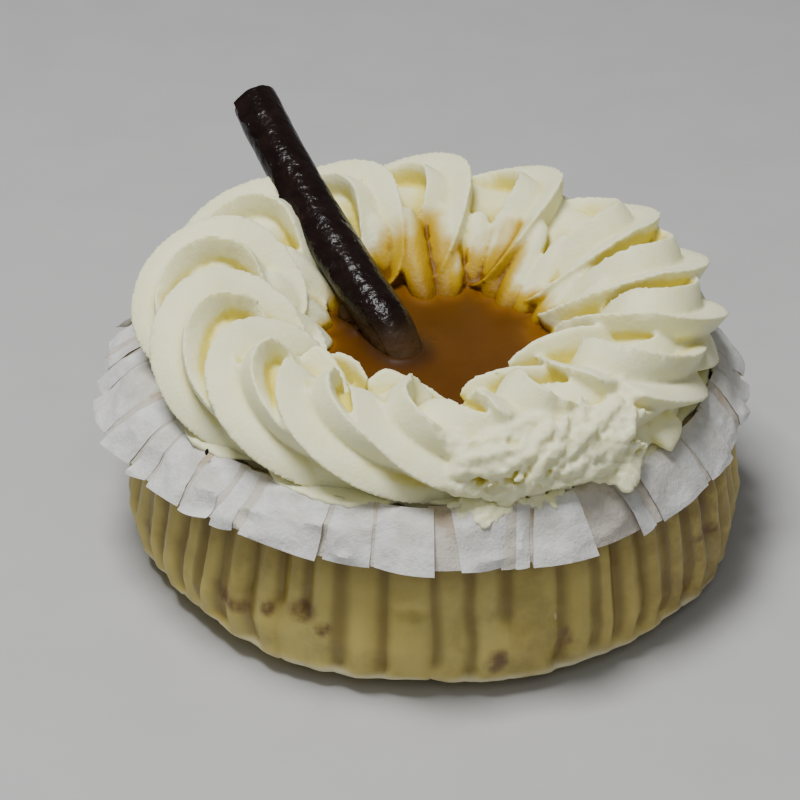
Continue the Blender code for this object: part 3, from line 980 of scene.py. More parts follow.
# Thin leaves of cream: both ends of the root, the tip, and half the thickness, in millimetres,
# and how far each narrows to its tip
LEAVES = (
    ((-27.5, -23.5, 38.0), (-20.5, -27.0, 37.5), (-22.7, -20.2, 42.7), 0.8, 0.55),
    ((-22.5, -21.5, 36.0), (-12.5, -25.5, 36.0), (-17.7, -18.5, 42.4), 0.9, 0.62),
    ((-17.6, -15.5, 34.0), (-11.2, -20.6, 34.0), (-13.6, -16.8, 40.0), 0.7, 0.15),
    ((-8.3, -25.6, 35.0), (5.0, -27.2, 35.0), (-7.05, -22.65, 41.0), 0.9, 0.62),
    ((5.0, -25.6, 35.0), (20.6, -24.6, 36.0), (12.2, -23.2, 42.0), 1.0, 0.12),
    ((12.4, -17.0, 35.0), (27.4, -13.4, 37.0), (19.8, -13.0, 42.2), 1.1, 0.05),
    ((19.0, -33.0, 37.6), (29.0, -31.5, 37.4), (27.4, -39.0, 32.0), 0.8, 0.65),
    ((29.0, -27.0, 36.8), (36.4, -25.0, 36.8), (34.6, -29.8, 32.6), 0.8, 0.78),
    ((14.5, -35.0, 36.0), (21.5, -35.5, 35.0), (22.5, -38.5, 33.0), 0.8, 0.5),
)


def leaf(number):
    """One thin pointed leaf of cream, uneven at its edge."""
    left, right, tip, thick, narrows = LEAVES[number]
    left, right, tip = np.array(left), np.array(right), np.array(tip)
    base, faces = ball(4)
    share = 0.5 + 0.5 * base[:, 2]
    ragged = 1.0 + 0.16 * cloud(base * 2.2 + 9.0 * number, 0.8, 19, 3)
    ragged += 0.06 * cloud(base + 9.0 * number, 0.22, 20, 2)
    root = 0.5 * (left + right)
    across = 0.62 * (right - left)
    normal = np.cross(right - left, tip - root)
    normal /= np.linalg.norm(normal)
    points = root + np.outer(1.12 * share ** 0.9, tip - root)
    points += np.outer(base[:, 0] * (1.0 - narrows * share) * ragged, across)
    bow = 0.35 * base[:, 0] ** 2 - 0.5 * share * (1.0 - share)
    points += np.outer(base[:, 1] * thick + bow * 2.0, normal)
    return new_mesh_object("leaf", points * MM, faces)


def stain_of(points):
    """How much caramel has soaked into the cream at each point, 0 to 1."""
    angle, radius = angle_and_radius(points)
    streaks = polar(20.0, angle, points[:, 2] / (6.0 * MM))
    wander = 0.6 * cloud(points, 4.0 * MM, 31, 3) + 0.9 * cloud(streaks, 3.2, 35, 2)
    reach = (1.6 + 12.0 * facing(angle, STAIN_SIDE) ** 3.8) * MM
    reach *= np.clip(1.0 + 0.7 * wander, 0.45, 1.7)
    over = (points[:, 2] - STAIN_HEIGHT) / reach
    inside = 1.0 - ease((radius - 25.0 * MM) / (5.0 * MM))
    return np.clip(1.0 - over, 0.0, 1.0) * inside


class CHEESECAKE_OT_cream_ring(bpy.types.Operator):
    """Pipe the ring of cream: loops of star rope run into one, torn at the front right"""

    bl_idname = "cheesecake.cream_ring"
    bl_label = "Cream ring"

    def execute(self, context):
        settings = context.scene.cheesecake_cream
        draw = random.Random(11)
        star = star_outline(settings)
        loops = []
        for head, *shifts, broad in zip(
            HEAD_ANGLES, HEAD_REACH, HEAD_OUT, HEAD_UP, HEAD_BROAD
        ):
            angle = math.radians(head + HEAD_TURN)
            shifts = [s * MM for s in shifts] + [broad]
            loops.append(rope_loop(settings, star, angle, shifts, draw))
        bpy.data.objects.remove(star)
        core = torus(CORE_RADIUS, CORE_THICK, CORE_HEIGHT, 96, 24)
        fills = [
            (ring_place(*place), np.array(FILL_SIZES) * MM, ring_axes(place[0]))
            for place in FILLS
        ]
        ring = join([core, *loops, lumps("fills", fills, 15, 3, 0.12)], "piped_ring")
        dip_crest(ring)
        tear(ring)
        leaves = [leaf(number) for number in range(len(LEAVES))]
        feet = lumps("feet", foot_places(), 16, 4, 0.12, 0.6)
        ring = join([ring, lumps("torn", torn_lumps(draw), 5), feet, *leaves], "piped_ring")
        apply_modifier(ring, "REMESH", mode="VOXEL", voxel_size=CREAM_VOXEL)
        keep_largest_body(ring)
        points = points_of(ring)
        share = torn_share(points)
        rough = 0.35 * cloud(points, 2.6 * MM, 3, 3) + 0.42 * cloud(points, 1.0 * MM, 8, 2)
        crest = np.clip(-groove_depth(ring, 16, 0.0006), 0.0, 1.0)
        radius = np.hypot(points[:, 0], points[:, 1])
        inner = ease((33.5 * MM - radius) / (4.0 * MM)) * crest
        ragged = 0.45 * cloud(points, 1.3 * MM, 27, 2) * inner
        soft = 0.05 * cloud(points, 1.6 * MM, 29, 2)
        move = (share * rough + ragged + soft) * MM
        move_points(ring, points + move[:, None] * normals_of(ring))
        triangles = 2 * len(ring.data.polygons)
        if triangles > CREAM_TRIANGLES:
            apply_modifier(ring, "DECIMATE", ratio=CREAM_TRIANGLES / triangles)
        # Painted shade: small grooves and the share of each vertex hidden by the ring itself are
        # stored as groove, which darkens the cream there
        small = np.clip(groove_depth(ring, 20, 0.0009), 0.0, 1.0)
        occlusion_shade = ease((hidden_share(ring, 9.0 * MM) - 0.15) / 0.6)
        put_values(ring, "groove", np.clip(0.55 * small + 0.75 * occlusion_shade, 0.0, 1.0))
        put_values(ring, "stain", stain_of(points_of(ring)))
        finish(ring, cream_material(settings), "cream", "cream_ring")
        return {"FINISHED"}


class CHEESECAKE_OT_cream_bed(bpy.types.Operator):
    """Spread the bed of cream under the ring, whose torn edge shows on the left and in front"""

    bl_idname = "cheesecake.cream_bed"
    bl_label = "Cream bed"

    def execute(self, context):
        draw = random.Random(23)
        bed = torus(BED_RADIUS, BED_HALF, BED_HEIGHT, 900, 48)
        bed.name = "spread_cream"
        bed.data.name = "spread_cream"
        points = points_of(bed)
        angle, radius = angle_and_radius(points)
        out = (radius - BED_RADIUS * MM) / (BED_HALF * MM)
        up = (points[:, 2] - BED_HEIGHT * MM) / (BED_HALF * MM)
        ledge = ease(1.0 - np.abs(np.degrees(angle) % 360.0 - 236.0) / 42.0)
        around = polar(BED_RADIUS, angle, 0.0) * MM
        edge = np.interp(np.degrees(angle), *zip(*BED_EDGE), period=360.0)
        edge += 0.9 * cloud(around, 4.5 * MM, 21, 4) + 0.5 * cloud(around, 1.4 * MM, 24, 2)
        outer = (edge - BED_RADIUS) * np.clip(out, 0.0, 1.0)
        radius = (BED_RADIUS + np.where(out > 0.0, outer, BED_INWARD * out)) * MM
        half = 0.7 - 0.1 * ledge
        height = (31.35 + 0.5 * ledge + 0.4 * cloud(around, 9.0 * MM, 22, 2)) * MM
        height = height + half * MM * np.sign(up) * np.abs(up) ** 0.45
        points = polar(radius, angle, height)
        move_points(bed, points)
        rough = 0.5 * cloud(points, 2.4 * MM, 25, 3) + 0.3 * cloud(points, 0.9 * MM, 26, 2)
        rough = rough * ease((radius - 40.0 * MM) / (3.0 * MM))
        move_points(bed, points + (rough * MM)[:, None] * normals_of(bed))
        # Faint painted shade in the bed's hollows
        put_values(bed, "groove", np.clip(groove_depth(bed, 12, 0.0006), 0.0, 1.0) * 0.2)
        put_values(bed, "stain", 0.6 * stain_of(points_of(bed)))
        cream = bpy.data.materials["Piped cream"]
        finish(bed, cream, "cream", "cream_bed")
        dabs = []
        for angle, radius, height, size, spread, count in DABS:
            for _ in range(count):
                turn = angle + draw.gauss(0.0, spread)
                far = radius + draw.gauss(0.0, 0.5)
                small = size * draw.uniform(0.3, 0.9)
                wide = small * draw.uniform(0.8, 1.5)
                sizes = np.array((wide, small * draw.uniform(0.9, 1.7), small * 0.6)) * MM
                place = ring_place(turn, far, height - 0.7 * (far - radius))
                dabs.append((place, sizes, ring_axes(turn + draw.uniform(-25.0, 25.0), 38.0)))
        dabs = lumps("cream_dabs", dabs, 33, 3, 0.3)
        apply_modifier(dabs, "REMESH", mode="VOXEL", voxel_size=0.16 * MM)
        put_values(dabs, "groove", 0.0)
        put_values(dabs, "stain", 0.0)
        finish(dabs, cream, "cream")
        return {"FINISHED"}


# Paper


def flute_columns(settings):
    """Angle shift and fold depth of each column of the wall."""
    draw = random.Random(7)
    count = 2 * settings.flutes
    shifts = np.empty(count)
    folds = np.empty(count)
    for column in range(count):
        shifts[column] = draw.uniform(-FLUTE_SHIFT, FLUTE_SHIFT) * 2.0 * math.pi / count
        side = 1.0 if column % 2 else -1.0
        folds[column] = side * settings.flute_depth * draw.uniform(*FLUTE_SPREAD)
    return shifts, folds


def edge_wave(angle):
    """How far the bottom edge of the paper lifts off the table at an angle, 0 to 1."""
    ripple = 0.5 + 0.5 * np.sin(5.0 * angle)
    return 0.25 + 0.45 * facing(angle, 215.0) ** 2 + 0.3 * ripple


def side_rows(side, step):
    """Radius and height of each row of a side, from the neck down and in to the middle."""
    side = np.array(side)
    spans = np.hypot(*np.diff(side, axis=0).T)
    along = np.concatenate(([0.0], np.cumsum(spans)))
    where = np.linspace(0.0, along[-1], int(along[-1] / step) + 1)
    radius = np.interp(where, along, side[:, 0])
    height = np.interp(where, along, side[:, 1])
    kernel = np.array((1.0, 2.0, 3.0, 2.0, 1.0)) / 9.0
    for values in (radius, height):
        padded = np.pad(values, 2, mode="reflect", reflect_type="odd")
        values[:] = np.convolve(padded, kernel, mode="valid")
    return radius * MM, np.maximum(height, 0.0) * MM


# Where the wall shows dark biscuit: angle, height, half width and half height in millimetres
BISCUIT_PATCHES = (
    (229.5, 10.8, 3.6, 1.3), (233.0, 10.2, 2.0, 1.2), (238.8, 12.2, 1.8, 1.6),
    (245.6, 13.2, 2.4, 1.9), (249.5, 11.0, 1.4, 1.0), (280.0, 7.2, 2.0, 2.2),
    (292.6, 8.2, 1.3, 2.4), (326.5, 14.2, 2.6, 1.8), (331.0, 13.4, 1.8, 1.4),
    (10.0, 11.5, 2.6, 1.4), (41.0, 9.6, 1.8, 1.8), (66.0, 12.4, 3.0, 1.3),
    (98.0, 10.2, 2.0, 1.7), (127.0, 12.8, 2.8, 1.5), (151.0, 9.0, 1.6, 1.9),
    (178.0, 11.6, 3.2, 1.4), (203.0, 10.0, 1.7, 1.5),
)
# Where the paper stands off the cake and stays pale, the same way
DRY_PATCHES = (
    (234.5, 4.6, 3.6, 3.6), (299.0, 4.0, 4.0, 1.6), (330.0, 9.0, 2.4, 2.6),
    (60.0, 5.0, 3.2, 2.6), (150.0, 5.0, 3.8, 2.4), (190.0, 6.0, 2.6, 3.0),
)
# Dents pressed into the wall: angle, height, half width in degrees, half height and depth
DENTS = ((265.0, 15.9, 2.6, 0.9, 0.9), (290.5, 13.0, 1.5, 1.2, 0.5), (322.0, 9.0, 2.5, 1.4, 0.5))


def patch_share(angle, points, patches):
    """How far each point of the wall lies in one of some ragged patches, 0 to 1."""
    share = np.zeros(len(points))
    wander = cloud(points, 1.7 * MM, 47, 3)
    for middle, height, wide, tall in patches:
        across = np.radians(turn_from(np.degrees(angle), middle)) * 48.5 / wide
        up = (points[:, 2] / MM - height) / tall
        far = np.hypot(across, up) + 0.6 * wander
        share = np.maximum(share, ease((1.3 - far) / 0.9))
    return share


# Ridges of the wall that the front shows, in degrees, and the wide ones of them
RIDGES = (
    199.2, 206.1, 212.7, 219.2, 224.2, 231.9, 238.6, 243.6, 249.0, 256.4, 264.8, 272.4, 278.3,
    288.1, 296.3, 301.9, 306.9, 312.5, 319.5, 326.1, 333.1, 339.8,
)
WIDE_RIDGES = (264.8, 288.1)
MORE_RIDGES = 34
# Stretches of the bottom fold: angle and half width in degrees, outward and upward shift
FOLD_SHIFTS = (
    (245.0, 10.0, 0.8, 0.0), (267.0, 5.0, -0.3, 0.7), (291.0, 9.0, 0.5, 0.0),
    (228.0, 6.0, 0.3, 1.0), (212.0, 8.0, -0.2, 0.9), (316.0, 7.0, 0.3, 0.5),
)
# The wall's side as it hangs, with its fold just off the table
PAPER_SIDE = (
    *WALL_SIDE[:4], (48.5, 5.2), (48.2, 3.4), (48.3, 2.1), (47.2, 1.1), (44.5, 0.3), (42.0, 0.0),
)


def section_of(draw, per):
    """The wall's columns: angle, valley and ridge offsets, how far to the ridge, valley's end."""
    span = RIDGES[0] + 360.0 - RIDGES[-1]
    ridges = list(RIDGES)
    for i in range(1, MORE_RIDGES):
        ridges.append((RIDGES[-1] + span * (i + draw.uniform(-0.22, 0.22)) / MORE_RIDGES) % 360.0)
    ridges.sort()
    high = [draw.uniform(0.6, 1.2) for _ in ridges]
    power = [0.6 if r in WIDE_RIDGES else draw.uniform(1.2, 2.2) for r in ridges]
    rows = []
    for i, ridge in enumerate(ridges):
        nearest = (i + 1) % len(ridges)
        gap = (ridges[nearest] - ridge) % 360.0
        valley = gap * draw.uniform(0.42, 0.58)
        low = -draw.uniform(0.5, 1.0)
        end = draw.uniform(2.5, 6.0) if draw.random() < 0.75 else draw.uniform(8.0, 14.0)
        for k in range(per):
            share = k / per
            bulge = math.cos(0.5 * math.pi * share) ** power[i]
            rows.append((ridge + valley * share, low, high[i], bulge, end))
        for k in range(per):
            share = k / per
            bulge = math.sin(0.5 * math.pi * share) ** power[nearest]
            rows.append((ridge + valley + (gap - valley) * share, low, high[nearest], bulge, end))
    return np.array(rows).T


class CHEESECAKE_OT_paper_wall(bpy.types.Operator):
    """Fold the wall of the paper case into uneven rounded flutes"""

    bl_idname = "cheesecake.paper_wall"
    bl_label = "Paper wall"

    def execute(self, context):
        settings = context.scene.cheesecake_paper
        shifts, case_folds = flute_columns(settings)
        case_turns = 2.0 * math.pi * np.arange(len(shifts)) / len(shifts) + shifts
        case_side = np.array(WALL_SIDE[::-1])
        degrees, low, high, bulge, ends = section_of(random.Random(19), 6)
        turn = np.radians(degrees)
        around = polar(WALL_AROUND, turn, 0.0)
        ripple = cloud(around, 7.0, 51, 2)
        fold_out = np.zeros(len(turn))
        fold_up = 2.0 * edge_wave(turn) + 0.5 * ripple
        for middle, wide, out, up in FOLD_SHIFTS:
            near = nearness(degrees, middle, wide)
            fold_out += out * near
            fold_up += up * near
        points = []
        folds = []
        edges = []
        for radius, height in zip(*side_rows(PAPER_SIDE, 0.6)):
            on_wall = min(1.0, max(0.0, (radius - WALL_BASE_RADIUS) / WALL_CORNER))
            fade = min(1.0, max(0.0, (WALL_NECK_HEIGHT - height) / FLUTE_FADE))
            depth = FLUTE_AT_NECK + (1.0 - FLUTE_AT_NECK) * fade
            filled = 0.85 * ease((ends - height / MM) / 4.0 + 0.5)
            valley = low + (high - low) * filled
            wander = cloud(around + (0.0, 0.0, height / MM), 11.0, 53, 2)
            lean = turn + math.radians(1.2) * wander * ease((28.0 - height / MM) / 20.0)
            own = radius + (valley + (high - valley) * bulge) * MM * on_wall * depth
            case = np.interp(height / MM, case_side[:, 1], case_side[:, 0]) * MM
            case = case + np.interp(lean, case_turns, case_folds, period=2.0 * math.pi) * depth
            near_edge = ease(1.0 - height / (7.0 * MM)) * on_wall
            reach = np.maximum(own + near_edge * fold_out * MM, case - 0.4 * MM)
            lift = near_edge * fold_up * MM
            points.append(polar(reach, lean, height + lift))
            # fold is 0 in a flute's valley and 1 on its ridge; the valley's painted shade follows
            # it
            folds.append((bulge + (1.0 - bulge) * filled) * on_wall + 1.0 - on_wall)
            at_fold = bell(height / MM, 2.0, 1.0) * on_wall
            edges.append(np.full(len(turn), at_fold))
        rows = len(points)
        columns = len(turn)
        points = np.concatenate(points)
        angle = angle_and_radius(points)[0]
        degrees = np.degrees(angle)
        height = points[:, 2] / MM
        move = 0.5 * cloud(points * (1.0, 1.0, 0.7), 8.0 * MM, 41, 3) + 0.15
        move += 0.2 * cloud(points, 2.4 * MM, 43, 3)
        move = np.maximum(move, -0.3) * np.clip(height / 3.0, 0.0, 1.0)
        for middle, level, wide, tall, deep in DENTS:
            move -= deep * nearness(degrees, middle, wide) * bell(height, level, tall)
        points += polar(1.0, angle, 0.0) * (move * MM)[:, None]
        last = (rows - 1) * columns
        faces = [*strip_faces(rows, columns), *fan_faces(len(points), last, columns)]
        points = np.vstack((points, (0.0, 0.0, points[last:, 2].mean())))
        wall = new_mesh_object("fluted_wall", points, faces)
        angle = np.append(angle, 0.0)
        # fold carries the painted shade of the flutes' valleys
        put_values(wall, "fold", np.append(np.concatenate(folds), 1.0))
        put_values(wall, "edge", np.append(np.concatenate(edges), 0.0))
        # A stretch of the wall darkened over its whole height, carried in by the biscuit value
        darkened = 0.6 * nearness(np.degrees(angle), *DARKENED_SIDE)
        biscuit = patch_share(angle, points, BISCUIT_PATCHES)
        put_values(wall, "biscuit", np.maximum(biscuit, darkened))
        put_values(wall, "dry", patch_share(angle, points, DRY_PATCHES))
        apply_modifier(wall, "SOLIDIFY", thickness=settings.thickness, offset=-1.0)
        finish(wall, paper_wall_material(settings), "paper", "paper_case", angle=70)
        return {"FINISHED"}


# The collar's pleats in front, once round from an angle: widths in millimetres of the front,
# of the part set in after it and of the fold under it, how far its left and right edges stand
# out, and how far round the neck those edges are shifted, in degrees
PLEATS_FROM = 236.2
FRONT_PLEATS = (
    (11.5, 0.9, 0.5, 0.1, 0.5, 0.0, 0.4), (7.1, 0.7, 0.3, 0.15, 0.2, 0.6, -0.6),
    (8.6, 4.0, 0.9, 0.1, 1.1, -1.0, -0.2), (6.3, 1.7, 0.4, 0.7, 0.15, -1.5, 1.6),
    (1.9, 0.5, 0.3, 0.2, 0.2, 1.9, 2.3), (10.1, 8.7, 1.0, 0.7, 1.2, 2.5, -1.0),
    (2.9, 1.5, 0.4, 1.0, 0.3, -3.0, -3.0), (11.3, 1.3, 0.6, 0.7, 0.4, -2.0, -0.5),
)
PANEL_POINTS = 10


def all_pleats(draw):
    """The pleats once round the rim, the front ones first."""
    room = 2.0 * math.pi * COLLAR_AROUND - sum(row[0] + row[1] for row in FRONT_PLEATS)
    more = []
    while sum(row[0] + row[1] for row in more) < room:
        front = draw.uniform(5.5, 9.5) if draw.random() < 0.5 else draw.uniform(2.8, 5.0)
        left, right = draw.uniform(0.1, 0.35), draw.uniform(0.4, 1.1)
        if draw.random() < 0.4:
            left, right = right, left
        more.append((
            front, draw.uniform(0.8, 3.0), 0.25 + 0.6 * right, left, right,
            draw.uniform(-1.4, 1.4), draw.uniform(-1.4, 1.4),
        ))
    more = np.array(more)
    more[:, :2] *= room / more[:, :2].sum()
    return np.vstack((FRONT_PLEATS, more))


def pleat_section(pleats, step, draw):
    """The collar's columns: angle at the rim and at the neck, outward offset, panel number.

    Pleats lie in front; between them the paper folds back under and shows set in. Even
    panels are in front and odd ones set in.
    """
    pleats = pleats.copy()
    pleats[:, :3] *= 2.0 * math.pi / pleats[:, :2].sum()
    pleats[:, 5:] *= math.pi / 180.0
    at = math.radians(PLEATS_FROM)
    rows = []
    for number, (front, back, under, left, right, *shifts) in enumerate(pleats):
        following = pleats[(number + 1) % len(pleats)]
        deep = step * (1.0 + 0.6 * facing(at, COLLAR_OUT) ** 2)
        bow = draw.uniform(-0.1, 0.5) * MM
        hollow = draw.uniform(-0.3, 0.5) * MM
        for s in np.linspace(0.0, 1.0, PANEL_POINTS):
            out = deep * (left + (right - left) * s) + bow * math.sin(math.pi * s)
            rows.append((at + front * s, shifts[0] + (shifts[1] - shifts[0]) * s, out, 2 * number))
        at += front
        rows.append((at - 0.5 * under, shifts[1], 0.5 * deep * right, 2 * number + 1))
        for s in np.linspace(0.0, 1.0, PANEL_POINTS - 2):
            shift = shifts[1] + (following[5] - shifts[1]) * s
            turn = at - under + (back + 2.0 * under) * s
            rows.append((turn, shift, hollow * math.sin(math.pi * s), 2 * number + 1))
        at += back
        rows.append((at + 0.5 * under, following[5], 0.5 * deep * following[3], 2 * number + 1))
    angle, shift, offset, panel = np.array(rows).T
    return angle, angle + shift, offset, panel.astype(int)


class CHEESECAKE_OT_paper_collar(bpy.types.Operator):
    """Turn the top of the paper case out and down as a pleated white collar"""

    bl_idname = "cheesecake.paper_collar"
    bl_label = "Paper collar"

    def execute(self, context):
        settings = context.scene.cheesecake_paper
        draw = random.Random(3)
        angle, neck_angle, offset, panel = pleat_section(
            all_pleats(draw), settings.pleat_step, draw
        )
        panels = panel.max() + 1
        hang = np.array([draw.uniform(-0.2, 0.2) for _ in range(panels)])[panel]
        flare = np.array([draw.uniform(-0.3, 0.4) for _ in range(panels)])[panel]
        degrees = np.degrees(angle) % 360.0
        short = bell(degrees, *COLLAR_SHORT)
        long = bell(degrees, *COLLAR_LONG)
        sway = cloud(polar(COLLAR_AROUND, angle, 0.0), 14.0, 57, 2)
        rim_radius = settings.rim_radius / MM + 3.4 * facing(angle, COLLAR_OUT) ** 3
        rim_radius -= facing(angle, COLLAR_CLOSE) ** 2
        rim_radius += 0.8 * sway - 0.9 * short
        rim_height = settings.rim_height / MM + hang + 0.7 * sway + 0.9 * short - 0.6 * long
        points = []
        for s in np.linspace(0.0, 1.0, COLLAR_ROWS):
            radius = COLLAR_NECK + (rim_radius - COLLAR_NECK) * s ** 0.85 + flare * s ** 3
            height = COLLAR_TOP - (COLLAR_TOP - rim_height) * s ** 1.3
            turn = neck_angle + (angle - neck_angle) * s
            reach = radius * MM + offset * (0.3 + 0.7 * s)
            points.append(polar(reach, turn, height * MM))
        points = np.concatenate(points)
        slope = np.repeat(np.linspace(0.0, 1.0, COLLAR_ROWS), len(angle))
        lift = polar(1.0, angle_and_radius(points)[0], 0.8)
        crease = 1.0 - 2.0 * np.abs(cloud(points, 7.0 * MM, 65, 2))
        sharp = 1.0 - 2.0 * np.abs(cloud(points, 3.4 * MM, 67, 1))
        crumpled = np.tile(1.0 + 2.6 * bell(degrees, *COLLAR_CRUMPLED), COLLAR_ROWS)
        wrinkle = 0.4 * cloud(points, 6.0 * MM, 61, 3) + 0.4 * crease + 0.3 * sharp * crumpled
        points += lift * (wrinkle * (0.35 + 0.65 * slope) * MM)[:, None]
        faces = strip_faces(COLLAR_ROWS, len(angle))
        collar = new_mesh_object("pleated_collar", points, faces)
        # slope and set_in place the collar's stain and painted shade: near the neck and on set-in
        # panels
        put_values(collar, "slope", slope)
        put_values(collar, "set_in", np.tile(panel % 2, COLLAR_ROWS))
        apply_modifier(collar, "SOLIDIFY", thickness=settings.thickness, offset=0.0)
        finish(collar, collar_material(settings), "paper", angle=22)
        return {"FINISHED"}


class CHEESECAKE_OT_layers(bpy.types.Operator):
    """Finish the biscuit base and the filling inside the paper"""

    bl_idname = "cheesecake.layers"
    bl_label = "Biscuit and filling"

    def execute(self, context):
        biscuit = layer_material("Biscuit crumb", (0.26, 0.12, 0.05), (0.40, 0.22, 0.10), 420.0)
        filling = layer_material("Baked filling", (0.66, 0.50, 0.22), (0.72, 0.58, 0.30), 300.0)
        for node, material in (("biscuit_base", biscuit), ("cheesecake", filling)):
            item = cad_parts[node]
            item.data.materials.clear()
            item.data.materials.append(material)
        return {"FINISHED"}


# Caramel and chocolate


def distance_to(item, points):
    """How far each point is from an object's surface."""
    tree = BVHTree.FromPolygons(
        [v.co for v in item.data.vertices], [tuple(f.vertices) for f in item.data.polygons]
    )
    reach = np.empty(len(points))
    for i, point in enumerate(points):
        reach[i] = tree.find_nearest(Vector(point))[3]
    return reach


class CHEESECAKE_OT_caramel(bpy.types.Operator):
    """Pour the pool of caramel, which climbs a little where it meets the cream"""

    bl_idname = "cheesecake.caramel"
    bl_label = "Caramel"

    def execute(self, context):
        settings = context.scene.cheesecake_caramel
        radius = settings.radius * np.arange(1, POOL_RINGS + 1) / POOL_RINGS
        turn = 2.0 * math.pi * np.arange(POOL_COLUMNS) / POOL_COLUMNS
        points = polar(
            np.repeat(radius, POOL_COLUMNS), np.tile(turn, POOL_RINGS), settings.height
        )
        reach = distance_to(bpy.data.objects["piped_ring"], points)
        to_stick = distance_to(bpy.data.objects["rolled_stick"], points)
        points[:, 2] += 0.45 * MM * np.exp(-reach / (0.8 * MM))
        points[:, 2] += 0.9 * MM * np.exp(-to_stick / (1.3 * MM))
        points[:, 2] += cloud(points, 9.0 * MM, 71, 2) * 0.18 * MM
        foot = polar(settings.radius, turn, POOL_BOTTOM)
        middles = ((0.0, 0.0, settings.height), (0.0, 0.0, POOL_BOTTOM))
        points = np.vstack((points, foot, *middles))
        bottom = len(points) - 1
        faces = [
            *strip_faces(POOL_RINGS + 1, POOL_COLUMNS),
            *fan_faces(bottom - 1, 0, POOL_COLUMNS)[:, ::-1],
            *fan_faces(bottom, POOL_RINGS * POOL_COLUMNS, POOL_COLUMNS),
        ]
        pool = new_mesh_object("caramel_pool", points, faces)
        below = np.zeros(POOL_COLUMNS + len(middles))
        thin = 0.7 * np.exp(-reach / (1.0 * MM))
        put_values(pool, "thin", np.append(thin, below))
        # Painted shade: near_stick darkens the caramel within a few millimetres of the stick
        near_stick = bell(to_stick, 0.0, 1.8 * MM)
        put_values(pool, "near_stick", np.append(near_stick, below))
        finish(pool, caramel_material(settings), "caramel", "caramel", angle=60)
        return {"FINISHED"}


# Broken flakes of the roll: place, half sizes in millimetres, and angles
FLAKES = (
    ((-14.2, 5.6, 34.6), (1.9, 0.45, 1.5), 40.0, 20.0),
    ((-12.4, 3.2, 33.6), (1.2, 0.4, 0.9), 10.0, 35.0),
    ((-10.6, 14.4, 37.6), (1.6, 0.4, 0.8), 60.0, 30.0),
)
# Specks of chocolate on the cream, the same way
SPECKS = (
    ((-22.6, -19.6, 42.7), (0.45, 0.3, 0.3), 30.0, 20.0),
    ((-34.3, -31.5, 33.0), (0.3, 0.3, 0.5), 70.0, 20.0),
)


def chips(name, rows, seed, detail, rough):
    """Chips of chocolate in one object, from rows of place, half sizes and angles."""
    places = [
        (np.array(place) * MM, np.array(sizes) * MM, ring_axes(angle, lean))
        for place, sizes, angle, lean in rows
    ]
    return lumps(name, places, seed, detail, rough)


